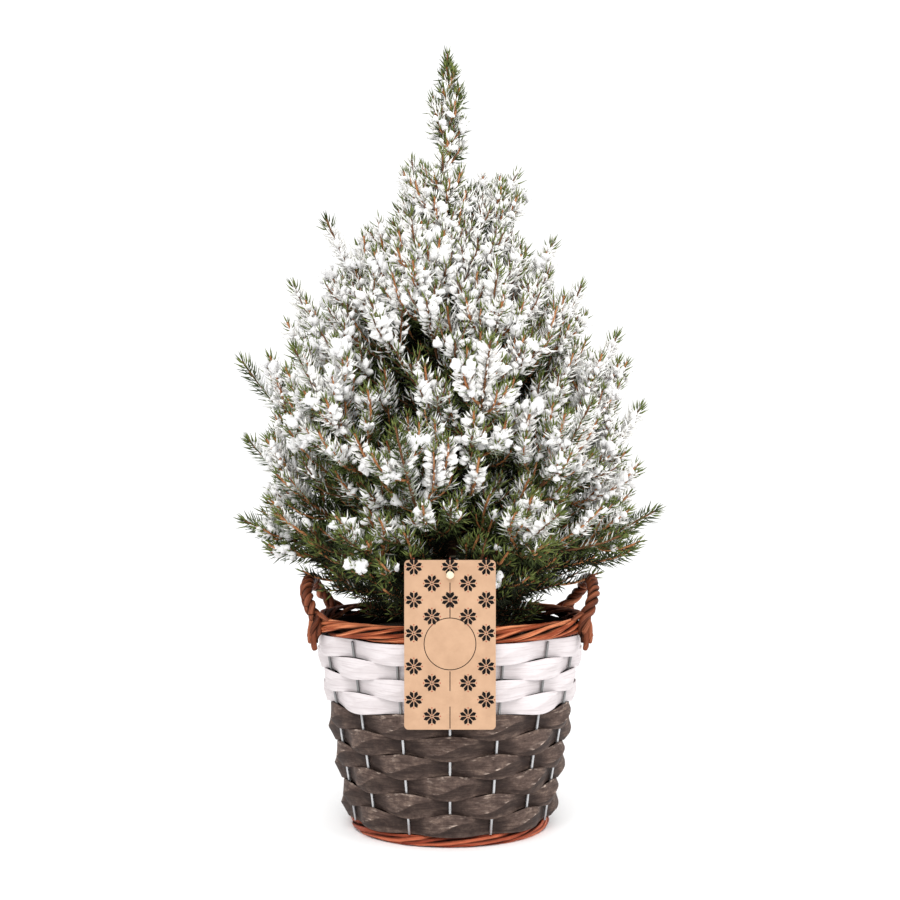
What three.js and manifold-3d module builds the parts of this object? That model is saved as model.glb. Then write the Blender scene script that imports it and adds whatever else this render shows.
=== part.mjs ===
// A potted dwarf Alberta spruce, dusted with snow, in a two-colour chipwood basket.
// Millimetres, +Z up. The origin is on the ground under the middle of the basket,
// and the front, where the tag hangs, faces -Y.
import * as THREE from "three";
import { mergeVertices } from "three/addons/utils/BufferGeometryUtils.js";
import Module from "manifold-3d";

const wasm = await Module();
wasm.setup();

// Limits that hold for every piece.
const GAP = 0.3; // between pieces that touch
const FINEST = 0.02; // smaller detail than this is smoothed away
const FOLIAGE_FINEST = 0.18;
const SAME_PLACE = 1e-3; // corners nearer than this count as one

// Driving dimensions of the basket.
const STAKES = 16;
const COLUMNS = 2 * STAKES; // facets round the basket, every other one at a stake
const FOOT_RADIUS = 77.5;
const FOOT_HEIGHT = 8.6;
const FOOT_WIDTH = 8.5;
const BOARD_THICKNESS = 5;
const WALL_FOOT_Z = 8.9;
const WALL_FOOT_RADIUS = 79;
const WALL_TOP_Z = 151;
const WALL_TOP_RADIUS = 103;
const WALL_BACKING = 4.6; // from the middle of the weave to its inner face
const BAND_SPLIT_Z = 98; // grey strips below, white strips above
const GREY_ROWS = 6;
const WHITE_ROWS = 4;
const WEAVE_SWING = 3; // how far a strip swings out over a stake and in behind it
const STRIP_OVERHANG = 0.9; // a strip that swings out hangs over its neighbours
const WIRE_THICKNESS = 2.1;
const WIRE_CORNER = 1.4; // corners of a stake's three-sided section, in half thicknesses
const WIRE_INSET = 1.2; // from the middle of the weave to the wire's middle
const ROD_GROOVE = 0.2; // depth of the grooves in a twist of rods, against its radius
const FOOT_TWIST = { lobes: 3, turns: 8, segments: 30 };
const RIM_TWIST = { lobes: 4, turns: 8, segments: 36 };
const RIM_RADIUS = 102.2; // to the middle of the border
const RIM_WIDTH = 11.4;
const RIM_HEIGHT = 12.6;
const RIM_LOW_Z = 152.6;
const HANDLE_SPAN = 50; // half the way between a handle's feet
const HANDLE_BACK_SHIFT = 5;
const HANDLE_TOP_Z = 190;
const HANDLE_FOOT_Z = 147;
const HANDLE_REACH = 110; // from the axis to the middle of the arch
const HANDLE_THICKNESS = 10;
const HANDLE_TWIST = { lobes: 3, turn: 9, segments: 20 };
const HANDLE_SEAT = 2.8; // from the outside of the border to the middle of a leg

// Driving dimensions of the pot inside and of the tag.
const LINER_LOW_Z = FOOT_HEIGHT + 2 * GAP;
const LINER_LOW_RADIUS = 73.8;
const LINER_TOP_Z = 157;
const LINER_TOP_RADIUS = 95.6;
const LINER_THICKNESS = 1.5;
const SOIL_EDGE_Z = 148;
const SOIL_MOUND = 3;
const TAG_WIDTH = 65;
const TAG_HEIGHT = 120.4;
const TAG_THICKNESS = 2;
const TAG_LOW_Z = 93.4;
const TAG_CORNER = 3;
const TAG_HOLE_RADIUS = 2.6;
const TAG_HOLE_Z = 203.4;
const TAG_BACK_Y = -(RIM_RADIUS + RIM_WIDTH / 2 + GAP);
const STRING_RADIUS = 0.8;
const STRING_KNOT_RADIUS = 3.3;
const STRING_TRUNK_Z = 209;

// Driving dimensions of the trunk.
const TREE_TOP_Z = 607;
const TRUNK_CUT_Z = SOIL_EDGE_Z + SOIL_MOUND + GAP;
const TRUNK_TIP_Z = 512;
const TRUNK_RADIUS = 8; // above the root flare
const TRUNK_TIP_RADIUS = 1.4;
const ROOT_FLARE = 4.5;
const ROOT_FLARE_HEIGHT = 16;
const TRUNK_LEAN = -3; // sideways, at the top
const TRUNK_SWAY = 1.8;

// The whorls of boughs from the top down. rootZ is where they leave the trunk, and tipZ and reach
// place the tips. rightLift and rightReach are added on the right and taken off on the left. steep
// is how much of the climb the outer half makes, stagger turns the boughs that face the front and
// back, and bare is the share of each limb without foliage. A whorl with limb null has its
// foliage straight on the trunk.
const WHORLS = [
  { name: "crest", count: 3, rootZ: 428, tipZ: 515, reach: 46, rightLift: -7, rightReach: 6,
    steep: 0.62, stagger: 30, bare: 0.1, limb: null },
  { name: "upper", count: 4, rootZ: 350, tipZ: 464, reach: 89, rightLift: -9, rightReach: -8,
    steep: 0.66, stagger: -20, bare: 0.1, limb: null },
  { name: "high", count: 4, rootZ: 292, tipZ: 421, reach: 113, rightLift: 0, rightReach: -10,
    steep: 0.66, stagger: 20, bare: 0.12, limb: null },
  { name: "middle", count: 6, rootZ: 229, tipZ: 372, reach: 147, rightLift: 10, rightReach: -16,
    steep: 0.66, stagger: -24, bare: 0.2, limb: 2.6 },
  { name: "low", count: 6, rootZ: 190, tipZ: 313, reach: 154, rightLift: 13, rightReach: -4,
    steep: 0.64, stagger: 20, bare: 0.22, limb: 2.9 },
  { name: "skirt", count: 6, rootZ: 178, tipZ: 241, reach: 162, rightLift: 4, rightReach: 0,
    steep: 0.58, stagger: 0, bare: 0.24, limb: 3.1 },
];
const ROOT_STEP = 7; // every other limb of a whorl starts this much higher
const FRONT_SHORTER = 0.93; // reach to the front and back against the reach to the sides
const TIP_SCATTER = 9; // how far a tip strays up or down from its whorl

// Driving dimensions of the foliage.
const NEEDLE_LENGTH = 10.5;
const NEEDLE_SPREAD = 42; // degrees between a needle and its shoot
const SHOOT_RADIUS = 1.5;
const SHOOT_TIP_RADIUS = 0.7;
const CORE_RADIUS = 38; // near the trunk
const CORE_TIP_RADIUS = 9;
const CORE_SHARE = 0.8; // of a mass's axis that its core covers
const SPRAY_LENGTH = 18; // a spray that stands out of a core
const SPRAY_FACING = -0.3; // faces that look down more than this have no spray
const FULL_REACH = 115; // masses that reach out less have a slimmer core
const SIDE_SHOOT_SPREAD = 50;
const SIDE_SHOOTS = 4; // on one mass
const SIDE_SHOOT_LENGTH = 62;
const LEAST_SIDE_SHOOT = 26;
const LEADER_SIDE_SHARE = 0.42; // length of the leader's side shoots against the others
const GOLDEN_ANGLE = 137.508;
const SIDE_SHOOT_FIRST = 0.2; // places of the first and the last side shoot on the axis
const SIDE_SHOOT_LAST = 0.74;
const SHOOT_CURL = 320; // the smaller, the sooner a side shoot turns up
const CROWN_FOOT_REACH = 104; // how far the crown reaches out where it meets the basket
const CLEARANCE = 0.8; // between a mass and what isn't its own
const ROOM_OVER_RIM = 1;
const ROOM_OVER_SOIL = 3;
const ROOM_ROUND_STRING = 1.5;
const ROOM_ROUND_TAG = 5;
const ROOM_ROUND_HANDLE = 1;
const GRIP_X = 92; // from here outwards foliage leaves room for the hand

const UP = new THREE.Vector3(0, 0, 1);
const radians = THREE.MathUtils.degToRad;
const mix = THREE.MathUtils.lerp;
const clamp = THREE.MathUtils.clamp;

// A steady number from 0 to 1 for each pair of keys.
function scatter(key, salt) {
  const wave = Math.sin(key * 12.9898 + salt * 78.233) * 43758.5453;
  return wave - Math.floor(wave);
}

// A closed surface put together from rings of points.
class Shell {
  constructor() {
    this.points = [];
    this.faces = [];
  }

  point(p) {
    return this.points.push(p.clone()) - 1;
  }

  ring(points) {
    return points.map((p) => this.point(p));
  }

  // A face, or three faces that meet in a spike where an apex is given.
  face(a, b, c, apex = null) {
    if (a === b || b === c || c === a) return;
    if (!apex) {
      this.faces.push([a, b, c]);
      return;
    }
    const d = this.point(apex);
    this.faces.push([a, b, d], [b, c, d], [c, a, d]);
  }

  // Two faces for each side between a ring and the ring after it.
  bridge(lower, upper, apexOf = () => null) {
    lower.forEach((a, i) => {
      const next = (i + 1) % lower.length;
      const corners = [
        [a, lower[next], upper[next]],
        [a, upper[next], upper[i]],
      ];
      for (const [p, q, r] of corners) this.face(p, q, r, apexOf(p, q, r));
    });
  }

  // A fan from a ring to one point, behind it or ahead of it.
  close(ring, centre, ahead) {
    const c = this.point(centre);
    ring.forEach((a, i) => {
      const b = ring[(i + 1) % ring.length];
      if (ahead) this.face(a, b, c);
      else this.face(b, a, c);
    });
  }

  centroid(a, b, c) {
    return this.points[a].clone().add(this.points[b]).add(this.points[c]).divideScalar(3);
  }

  solid() {
    return solidFrom(this.points.flatMap((p) => p.toArray()), this.faces.flat());
  }
}

function solidFrom(positions, triangles) {
  return new wasm.Manifold(
    new wasm.Mesh({
      numProp: 3,
      vertProperties: new Float32Array(positions),
      triVerts: new Uint32Array(triangles),
    }),
  );
}

function solidOf(geometry) {
  const bare = geometry.clone();
  bare.deleteAttribute("normal");
  bare.deleteAttribute("uv");
  const merged = mergeVertices(bare, 1e-4);
  return solidFrom(merged.attributes.position.array, merged.index.array);
}

// The largest body of a solid, without scraps, tiny detail and hollows closed off inside it.
function wholeBody(solid, finest) {
  const bodies = solid.simplify(finest).decompose();
  return bodies.reduce((best, b) => (b.volume() > best.volume() ? b : best));
}

// True where each edge has two faces once the corners that lie at one place are one corner.
function edgesPair(mesh) {
  const places = new Map();
  const place = (corner) => {
    const at = [...mesh.vertProperties.slice(3 * corner, 3 * corner + 3)];
    const key = at.map((v) => Math.round(v / SAME_PLACE)).join();
    if (!places.has(key)) places.set(key, places.size);
    return places.get(key);
  };
  const uses = new Map();
  for (let i = 0; i < mesh.triVerts.length; i += 3) {
    const corners = [...mesh.triVerts.slice(i, i + 3)].map(place);
    if (new Set(corners).size < 3) continue;
    corners.forEach((corner, j) => {
      const edge = [corner, corners[(j + 1) % 3]].sort((a, b) => a - b).join();
      uses.set(edge, (uses.get(edge) ?? 0) + 1);
    });
  }
  return [...uses.values()].every((count) => count === 2);
}

// The geometry of a solid, smoothed a little less for as long as it still meets itself.
function geometryOf(solid, finest) {
  const mesh = wholeBody(solid, finest).getMesh();
  if (!edgesPair(mesh)) return geometryOf(solid, finest * 0.8);
  return new THREE.BufferGeometry()
    .setAttribute("position", new THREE.BufferAttribute(mesh.vertProperties, 3))
    .setIndex(new THREE.BufferAttribute(mesh.triVerts, 1));
}

const material = (color, roughness, metalness = 0) =>
  new THREE.MeshStandardMaterial({ color, roughness, metalness });
const WHITE_CHIP = material(0xe9e3e1, 0.85);
const GREY_CHIP = material(0x5c5049, 0.85);
const WILLOW = material(0x9a4526, 0.6);
const WIRE = material(0xc9c9cc, 0.35, 0.9);
const BLACK_PLASTIC = material(0x1c1a19, 0.5);
const SOIL = material(0x2b1d14, 1);
const KRAFT = material(0xd9ab80, 0.9);
const STRING = material(0xf2dcb8, 0.9);
const BARK = material(0x8a5030, 0.9);
const FOLIAGE = material(0xb9c2b4, 0.8);

const root = new THREE.Group();
function add(name, solid, finish, finest = FINEST) {
  const mesh = new THREE.Mesh(geometryOf(solid, finest), finish);
  mesh.name = name;
  root.add(mesh);
}

// Basket wall: its middle radius, and a point on it at an angle in columns.
const wallRadius = (z) =>
  mix(WALL_FOOT_RADIUS, WALL_TOP_RADIUS, (z - WALL_FOOT_Z) / (WALL_TOP_Z - WALL_FOOT_Z));

function polar(radius, angle, z) {
  return new THREE.Vector3(radius * Math.cos(angle), radius * Math.sin(angle), z);
}
const columnAngle = (column) => (column * 2 * Math.PI) / COLUMNS;

// 1 where a strip passes in front of the stake at this column, -1 behind it, 0 between stakes.
function swing(column, row) {
  if (column % 2) return 0;
  return (column / 2 + row) % 2 ? -1 : 1;
}

// One band of woven strips: rows that swing out over every other stake, on a plain inner face.
function weaveBand(firstRow, rows, lowZ, highZ, meetsBelow, meetsAbove) {
  const shell = new Shell();
  const columns = [...Array(COLUMNS).keys()];
  const edge = (row, boundary) =>
    columns.map((column) => {
      const lower = firstRow + boundary - 1;
      const open = (boundary > 0 || meetsBelow) && (boundary < rows || meetsAbove);
      const nominal = mix(lowZ, highZ, boundary / rows);
      const z = nominal + (open ? STRIP_OVERHANG * swing(column, lower) : 0);
      const radius = wallRadius(nominal) + WEAVE_SWING * swing(column, row);
      return polar(radius, columnAngle(column), z);
    });
  const inner = (z) =>
    columns.map((c) => polar(wallRadius(z) - WALL_BACKING, columnAngle(c), z));

  const innerLow = shell.ring(inner(lowZ));
  const innerHigh = shell.ring(inner(highZ));
  let last = innerLow;
  for (let row = 0; row < rows; row += 1) {
    const lowEdge = edge(firstRow + row, row);
    const low =
      row === 0
        ? shell.ring(lowEdge)
        : lowEdge.map((p, c) => (swing(c, 0) === 0 ? last[c] : shell.point(p)));
    shell.bridge(last, low);
    const high = shell.ring(edge(firstRow + row, row + 1));
    shell.bridge(low, high);
    last = high;
  }
  shell.bridge(last, innerHigh);
  shell.bridge(innerHigh, innerLow);
  return shell.solid();
}

// The wire frame: stakes on a hoop at the foot of the wall, swollen by a gap to cut with.
function wireFrame(swell) {
  const half = WIRE_THICKNESS / 2 + swell;
  const hoopZ = WALL_FOOT_Z + WIRE_THICKNESS / 2;
  const radiusAt = (z) => wallRadius(z) - WIRE_INSET;
  const profile = [
    [radiusAt(hoopZ) - half, hoopZ - half],
    [radiusAt(hoopZ) + half, hoopZ - half],
    [radiusAt(hoopZ) + half, hoopZ + half],
    [radiusAt(hoopZ) - half, hoopZ + half],
    [radiusAt(hoopZ) - half, hoopZ - half],
  ].map(([x, y]) => new THREE.Vector2(x, y));
  const hoop = new THREE.LatheGeometry(profile, STAKES, Math.PI / 2).rotateX(Math.PI / 2);
  let frame = solidOf(hoop);
  for (let stake = 0; stake < STAKES; stake += 1) {
    const angle = columnAngle(2 * stake);
    const shell = new Shell();
    const section = (z) =>
      [0, 1, 2].map((corner) => {
        const turn = angle + (corner * 2 * Math.PI) / 3;
        return polar(radiusAt(z), angle, z).add(polar(half * WIRE_CORNER, turn, 0));
      });
    const footZ = hoopZ - swell;
    const topZ = WALL_TOP_Z + swell;
    const low = shell.ring(section(footZ));
    const high = shell.ring(section(topZ));
    shell.close(low, polar(radiusAt(footZ), angle, footZ), false);
    shell.bridge(low, high);
    shell.close(high, polar(radiusAt(topZ), angle, topZ), true);
    frame = frame.add(shell.solid());
  }
  return frame;
}

// The section of a twist of rods, as lobes that turn along it.
function lobedSection(lobes, turn) {
  return [...Array(2 * lobes).keys()].map((i) => {
    const angle = (i * Math.PI) / lobes + turn;
    const radius = i % 2 ? 1 - ROD_GROOVE : 1;
    return [radius * Math.cos(angle), radius * Math.sin(angle)];
  });
}

// A closed ring of twisted willow rods. Nothing of it reaches below floorZ.
function willowRing({ radius, middleZ, width, height, twist, floorZ = -Infinity }) {
  const { lobes, turns, segments } = twist;
  const shell = new Shell();
  const rings = [...Array(segments).keys()].map((s) => {
    const angle = (s * 2 * Math.PI) / segments;
    const turn = (angle * turns) / lobes;
    const points = lobedSection(lobes, turn).map(([x, y]) =>
      polar(radius - (x * width) / 2, angle, Math.max(floorZ, middleZ + (y * height) / 2)),
    );
    return shell.ring(points);
  });
  const step = (turns * 2) % (2 * lobes);
  rings.forEach((ring, s) => {
    if (s + 1 < segments) {
      shell.bridge(ring, rings[s + 1]);
      return;
    }
    const first = rings[0];
    const turned = first.map((unused, i) => first[(i + step) % first.length]);
    shell.bridge(ring, turned);
  });
  return shell.solid();
}

const rim = (swell) =>
  willowRing({
    radius: RIM_RADIUS,
    middleZ: RIM_LOW_Z + RIM_HEIGHT / 2,
    width: RIM_WIDTH + 2 * swell,
    height: RIM_HEIGHT + 2 * swell,
    twist: RIM_TWIST,
  });

function board() {
  const radius = FOOT_RADIUS - FOOT_WIDTH * 0.6;
  const disc = new THREE.CylinderGeometry(radius, radius, BOARD_THICKNESS, STAKES);
  disc.rotateX(Math.PI / 2).translate(0, 0, BOARD_THICKNESS / 2);
  return solidOf(disc);
}

// A round, closed profile spun about the basket's axis, with points as [radius, z].
function spun(points) {
  const profile = points.map(([x, y]) => new THREE.Vector2(x, y));
  return solidOf(new THREE.LatheGeometry(profile, COLUMNS).rotateX(Math.PI / 2));
}

const linerRadius = (z) =>
  mix(LINER_LOW_RADIUS, LINER_TOP_RADIUS, (z - LINER_LOW_Z) / (LINER_TOP_Z - LINER_LOW_Z));

function liner() {
  const floor = LINER_LOW_Z + LINER_THICKNESS;
  return spun([
    [0, LINER_LOW_Z],
    [LINER_LOW_RADIUS, LINER_LOW_Z],
    [LINER_TOP_RADIUS, LINER_TOP_Z],
    [LINER_TOP_RADIUS - LINER_THICKNESS, LINER_TOP_Z],
    [linerRadius(floor) - LINER_THICKNESS, floor],
    [0, floor],
  ]);
}

function soil() {
  const low = LINER_LOW_Z + LINER_THICKNESS + GAP;
  const inside = (z) => linerRadius(z) - LINER_THICKNESS - GAP;
  const flat = TRUNK_RADIUS + ROOT_FLARE + 6;
  return spun([
    [0, low],
    [inside(low), low],
    [inside(SOIL_EDGE_Z), SOIL_EDGE_Z],
    [mix(flat, inside(SOIL_EDGE_Z), 0.45), SOIL_EDGE_Z + SOIL_MOUND * 0.55],
    [flat, SOIL_EDGE_Z + SOIL_MOUND],
    [0, SOIL_EDGE_Z + SOIL_MOUND],
  ]);
}

// The arch of a handle: side is 1 on the right and -1 on the left, share runs from foot to foot.
// Its legs follow the border and are let into it, and the arch above stands out a little more.
function handlePoint(side, share) {
  const angle = Math.PI * (1 - share);
  const along = Math.sign(Math.cos(angle)) * Math.abs(Math.cos(angle)) ** 0.75;
  const lift = Math.sin(angle) ** 0.6;
  const y = HANDLE_BACK_SHIFT + HANDLE_SPAN * along;
  const z = mix(HANDLE_FOOT_Z, HANDLE_TOP_Z, lift);
  const footX = Math.sqrt((RIM_RADIUS + RIM_WIDTH / 2 + HANDLE_SEAT) ** 2 - y ** 2);
  const overRim = clamp((z - RIM_LOW_Z - RIM_HEIGHT) / (2 * HANDLE_THICKNESS), 0, 1);
  return new THREE.Vector3(side * mix(footX, Math.max(HANDLE_REACH, footX), overRim), y, z);
}

function handle(side) {
  const shell = new Shell();
  const { lobes, turn, segments } = HANDLE_TWIST;
  const rings = [];
  for (let s = 0; s <= segments; s += 1) {
    const share = s / segments;
    const middle = handlePoint(side, share);
    const ahead = handlePoint(side, Math.min(1, share + 0.01));
    const behind = handlePoint(side, Math.max(0, share - 0.01));
    const along = ahead.sub(behind).normalize();
    const across = new THREE.Vector3(side, 0, 0).projectOnPlane(along).normalize();
    const over = along.clone().cross(across);
    const section = lobedSection(lobes, share * turn);
    const points = section.map(([x, y]) =>
      middle
        .clone()
        .addScaledVector(across, (x * HANDLE_THICKNESS) / 2)
        .addScaledVector(over, (y * HANDLE_THICKNESS) / 2),
    );
    rings.push(shell.ring(points));
  }
  shell.close(rings[0], handlePoint(side, 0), false);
  for (let s = 0; s < segments; s += 1) shell.bridge(rings[s], rings[s + 1]);
  shell.close(rings[segments], handlePoint(side, 1), true);
  return shell.solid();
}

function tag() {
  const halfWidth = TAG_WIDTH / 2;
  const shape = new THREE.Shape();
  const corners = [
    [halfWidth - TAG_CORNER, TAG_CORNER, -90],
    [halfWidth - TAG_CORNER, TAG_HEIGHT - TAG_CORNER, 0],
    [-halfWidth + TAG_CORNER, TAG_HEIGHT - TAG_CORNER, 90],
    [-halfWidth + TAG_CORNER, TAG_CORNER, 180],
  ];
  for (const [x, y, start] of corners) {
    shape.absarc(x, y, TAG_CORNER, radians(start), radians(start + 90));
  }
  shape.closePath();
  const hole = new THREE.Path();
  hole.absarc(0, TAG_HOLE_Z - TAG_LOW_Z, TAG_HOLE_RADIUS, 0, 2 * Math.PI, true);
  shape.holes.push(hole);
  const plate = new THREE.ExtrudeGeometry(shape, {
    depth: TAG_THICKNESS,
    bevelEnabled: false,
    curveSegments: 3,
  });
  plate.rotateX(Math.PI / 2).translate(0, TAG_BACK_Y, TAG_LOW_Z);
  return solidOf(plate);
}

// The trunk: its middle line, its radius and the solid.
function trunkMiddle(z) {
  const share = (z - TRUNK_CUT_Z) / (TREE_TOP_Z - TRUNK_CUT_Z);
  const sway = TRUNK_SWAY * Math.sin(share * 9);
  return new THREE.Vector3(TRUNK_LEAN * share + sway * share, sway * 0.6, z);
}

function trunkRadius(z) {
  const share = (z - TRUNK_CUT_Z) / (TRUNK_TIP_Z - TRUNK_CUT_Z);
  const flare = ROOT_FLARE * Math.exp(-(z - TRUNK_CUT_Z) / (ROOT_FLARE_HEIGHT / 2));
  return mix(TRUNK_RADIUS, TRUNK_TIP_RADIUS, clamp(share, 0, 1) ** 0.85) + flare;
}

function trunk(swell) {
  const shell = new Shell();
  const sides = 8;
  const shares = [0, 0.012, 0.035, 0.08, 0.2, 0.34, 0.5, 0.66, 0.83, 1];
  const rings = shares.map((share) => {
    const z = mix(TRUNK_CUT_Z, TRUNK_TIP_Z, share);
    const points = [...Array(sides).keys()].map((i) => {
      const angle = (i * 2 * Math.PI) / sides;
      const buttress = share < 0.05 && i % 2 ? 0.86 : 1;
      return trunkMiddle(z).add(polar(trunkRadius(z) * buttress + swell, angle, 0));
    });
    return shell.ring(points);
  });
  shell.close(rings[0], trunkMiddle(TRUNK_CUT_Z), false);
  for (let i = 0; i + 1 < rings.length; i += 1) shell.bridge(rings[i], rings[i + 1]);
  shell.close(rings.at(-1), trunkMiddle(TRUNK_TIP_Z), true);
  return shell.solid();
}

// Every limb of the tree: its whorl, and a curve from the middle of the trunk to its tip.
function limbs() {
  const found = [];
  WHORLS.forEach((whorl, tier) => {
    for (let i = 0; i < whorl.count; i += 1) {
      const even = (i * 360) / whorl.count;
      const facing = Math.sin(radians(even)) ** 2;
      const azimuth = radians(even + whorl.stagger * facing);
      const side = Math.cos(azimuth);
      const key = tier * 10 + i;
      const stray = (2 * scatter(key, 1) - 1) * TIP_SCATTER * facing;
      const tipZ = whorl.tipZ + whorl.rightLift * side + stray;
      const shorter = mix(1, FRONT_SHORTER, facing);
      const reach = (whorl.reach + whorl.rightReach * side) * shorter;
      const base = trunkMiddle(whorl.rootZ + (i % 2) * ROOT_STEP);
      const tip = polar(reach, azimuth, tipZ);
      const control = new THREE.Vector3(
        mix(base.x, tip.x, whorl.steep),
        mix(base.y, tip.y, whorl.steep),
        mix(base.z, tip.z, 1 - whorl.steep),
      );
      found.push({
        name: `${whorl.name}_${i + 1}`,
        key,
        whorl,
        bare: whorl.bare,
        curve: new THREE.QuadraticBezierCurve3(base, control, tip),
      });
    }
  });
  return found;
}

// The leader goes straight on from the tip of the trunk.
const leader = {
  name: "leader",
  key: 99,
  whorl: { limb: null },
  bare: 0,
  curve: new THREE.QuadraticBezierCurve3(
    trunkMiddle(TRUNK_TIP_Z + GAP),
    trunkMiddle(mix(TRUNK_TIP_Z, TREE_TOP_Z, 0.5)),
    trunkMiddle(TREE_TOP_Z - 4),
  ),
};
const LIMBS = [...limbs(), leader];
for (const limb of LIMBS) limb.line = limb.curve.getPoints(14);

function distanceToLine(point, line) {
  const segment = new THREE.Line3();
  const nearest = new THREE.Vector3();
  let least = Infinity;
  for (let i = 0; i + 1 < line.length; i += 1) {
    segment.set(line[i], line[i + 1]);
    segment.closestPointToPoint(point, true, nearest);
    least = Math.min(least, nearest.distanceTo(point));
  }
  return least;
}

// How far the crown reaches out at a height.
function crownReach(z) {
  const levels = WHORLS.map((w) => [w.tipZ, w.reach + Math.abs(w.rightReach)]);
  levels.unshift([TREE_TOP_Z, 5]);
  levels.push([RIM_LOW_Z + RIM_HEIGHT, CROWN_FOOT_REACH]);
  for (let i = 0; i + 1 < levels.length; i += 1) {
    const [highZ, highReach] = levels[i];
    const [lowZ, lowReach] = levels[i + 1];
    if (z <= highZ && z >= lowZ) {
      return mix(lowReach, highReach, (z - lowZ) / (highZ - lowZ));
    }
  }
  return 0;
}

// What foliage keeps clear of: the string, the handles with the grip under them, the tag, and
// the rim and all that lies under it.
const STRING_LINE = [
  new THREE.Vector3(0, TAG_BACK_Y - TAG_THICKNESS - 4, TAG_HOLE_Z),
  trunkMiddle(STRING_TRUNK_Z),
];
const HANDLE_LINES = [-1, 1].map((side) =>
  [...Array(15).keys()].map((i) => handlePoint(side, i / 14)),
);

function isFree(p) {
  const radius = Math.hypot(p.x, p.y);
  const overRim = radius > LINER_TOP_RADIUS - HANDLE_THICKNESS / 2;
  const lowest = overRim
    ? RIM_LOW_Z + RIM_HEIGHT + ROOM_OVER_RIM
    : SOIL_EDGE_Z + SOIL_MOUND + ROOM_OVER_SOIL;
  if (p.z < lowest) return false;
  if (radius > crownReach(p.z) + 3) return false;
  if (p.z < TRUNK_TIP_Z && trunkMiddle(p.z).distanceTo(p) < trunkRadius(p.z) + 1) return false;
  if (distanceToLine(p, STRING_LINE) < STRING_RADIUS + ROOM_ROUND_STRING) return false;
  const nearTag = p.y < TAG_BACK_Y + ROOM_ROUND_TAG;
  const besideTag = Math.abs(p.x) > TAG_WIDTH / 2 + ROOM_ROUND_TAG;
  if (nearTag && !besideTag && p.z < TAG_LOW_Z + TAG_HEIGHT + ROOM_ROUND_TAG) return false;
  const inGrip = Math.abs(p.y - HANDLE_BACK_SHIFT) < HANDLE_SPAN && p.z < HANDLE_TOP_Z;
  if (inGrip && Math.abs(p.x) > GRIP_X) return false;
  const handleRoom = HANDLE_THICKNESS / 2 + ROOM_ROUND_HANDLE;
  return HANDLE_LINES.every((line) => distanceToLine(p, line) > handleRoom);
}

// True where a point belongs to this limb: free, and nearer to it than to every other limb.
function belongs(p, limb, spare = CLEARANCE) {
  if (!isFree(p)) return false;
  const own = distanceToLine(p, limb.line);
  return LIMBS.every((other) => other === limb || distanceToLine(p, other.line) > own + spare);
}

// Directions at a place on a curve: along it, level across it, and over it.
function frameAt(along) {
  const across = along.clone().cross(UP);
  if (across.lengthSq() < 1e-4) across.set(1, 0, 0);
  across.normalize();
  return { along, across, over: across.clone().cross(along) };
}

function around(frame, angle) {
  return frame.across
    .clone()
    .multiplyScalar(Math.cos(angle))
    .addScaledVector(frame.over, Math.sin(angle));
}

// A bare limb: a tapering tube along the curve, up to where the foliage starts.
function bough(limb) {
  const shell = new Shell();
  const sides = 4;
  const steps = 3;
  const rings = [];
  for (let s = 0; s <= steps; s += 1) {
    const share = (limb.bare * s) / steps;
    const frame = frameAt(limb.curve.getTangent(share));
    const radius = mix(limb.whorl.limb, SHOOT_RADIUS + 0.5, s / steps);
    const middle = limb.curve.getPoint(share);
    const points = [...Array(sides).keys()].map((i) =>
      middle.clone().addScaledVector(around(frame, (-i * 2 * Math.PI) / sides), radius),
    );
    rings.push(shell.ring(points));
  }
  shell.close(rings[0], limb.curve.getPoint(0), false);
  for (let s = 0; s < steps; s += 1) shell.bridge(rings[s], rings[s + 1]);
  shell.close(rings[steps], limb.curve.getPoint(limb.bare), true);
  return shell.solid();
}

// A shoot along a list of points: a slim three-sided core, with needles on its faces past
// the point numbered firstNeedles.
function shoot(points, startRadius, firstNeedles, limb, key) {
  const shell = new Shell();
  const last = points.length - 1;
  const rings = points.map((p, i) => {
    const along = points[Math.min(i + 1, last)].clone().sub(points[Math.max(i - 1, 0)]);
    const frame = frameAt(along.normalize());
    const radius = mix(startRadius, SHOOT_TIP_RADIUS, i / last);
    const turn = i * 0.5 + key;
    const corners = [0, 1, 2].map((c) =>
      p.clone().addScaledVector(around(frame, -(c * 2 * Math.PI) / 3 - turn), radius),
    );
    return { ring: shell.ring(corners), frame, middle: p };
  });
  shell.close(rings[0].ring, points[0], false);
  for (let i = 0; i < last; i += 1) {
    const { frame } = rings[i];
    const middle = points[i].clone().lerp(points[i + 1], 0.5);
    shell.bridge(rings[i].ring, rings[i + 1].ring, (a, b, c) => {
      if (i < firstNeedles) return null;
      const foot = shell.centroid(a, b, c);
      const outward = foot.clone().sub(middle).projectOnPlane(frame.along).normalize();
      const length = NEEDLE_LENGTH * (0.85 + 0.3 * scatter(key + i, a));
      const spread = radians(NEEDLE_SPREAD);
      const apex = foot
        .clone()
        .addScaledVector(outward, length * Math.sin(spread))
        .addScaledVector(frame.along, length * Math.cos(spread));
      return belongs(apex, limb) ? apex : null;
    });
  }
  const tip = rings[last].middle.clone().addScaledVector(rings[last].frame.along, 4);
  shell.close(rings[last].ring, tip, true);
  return shell.solid();
}

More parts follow.
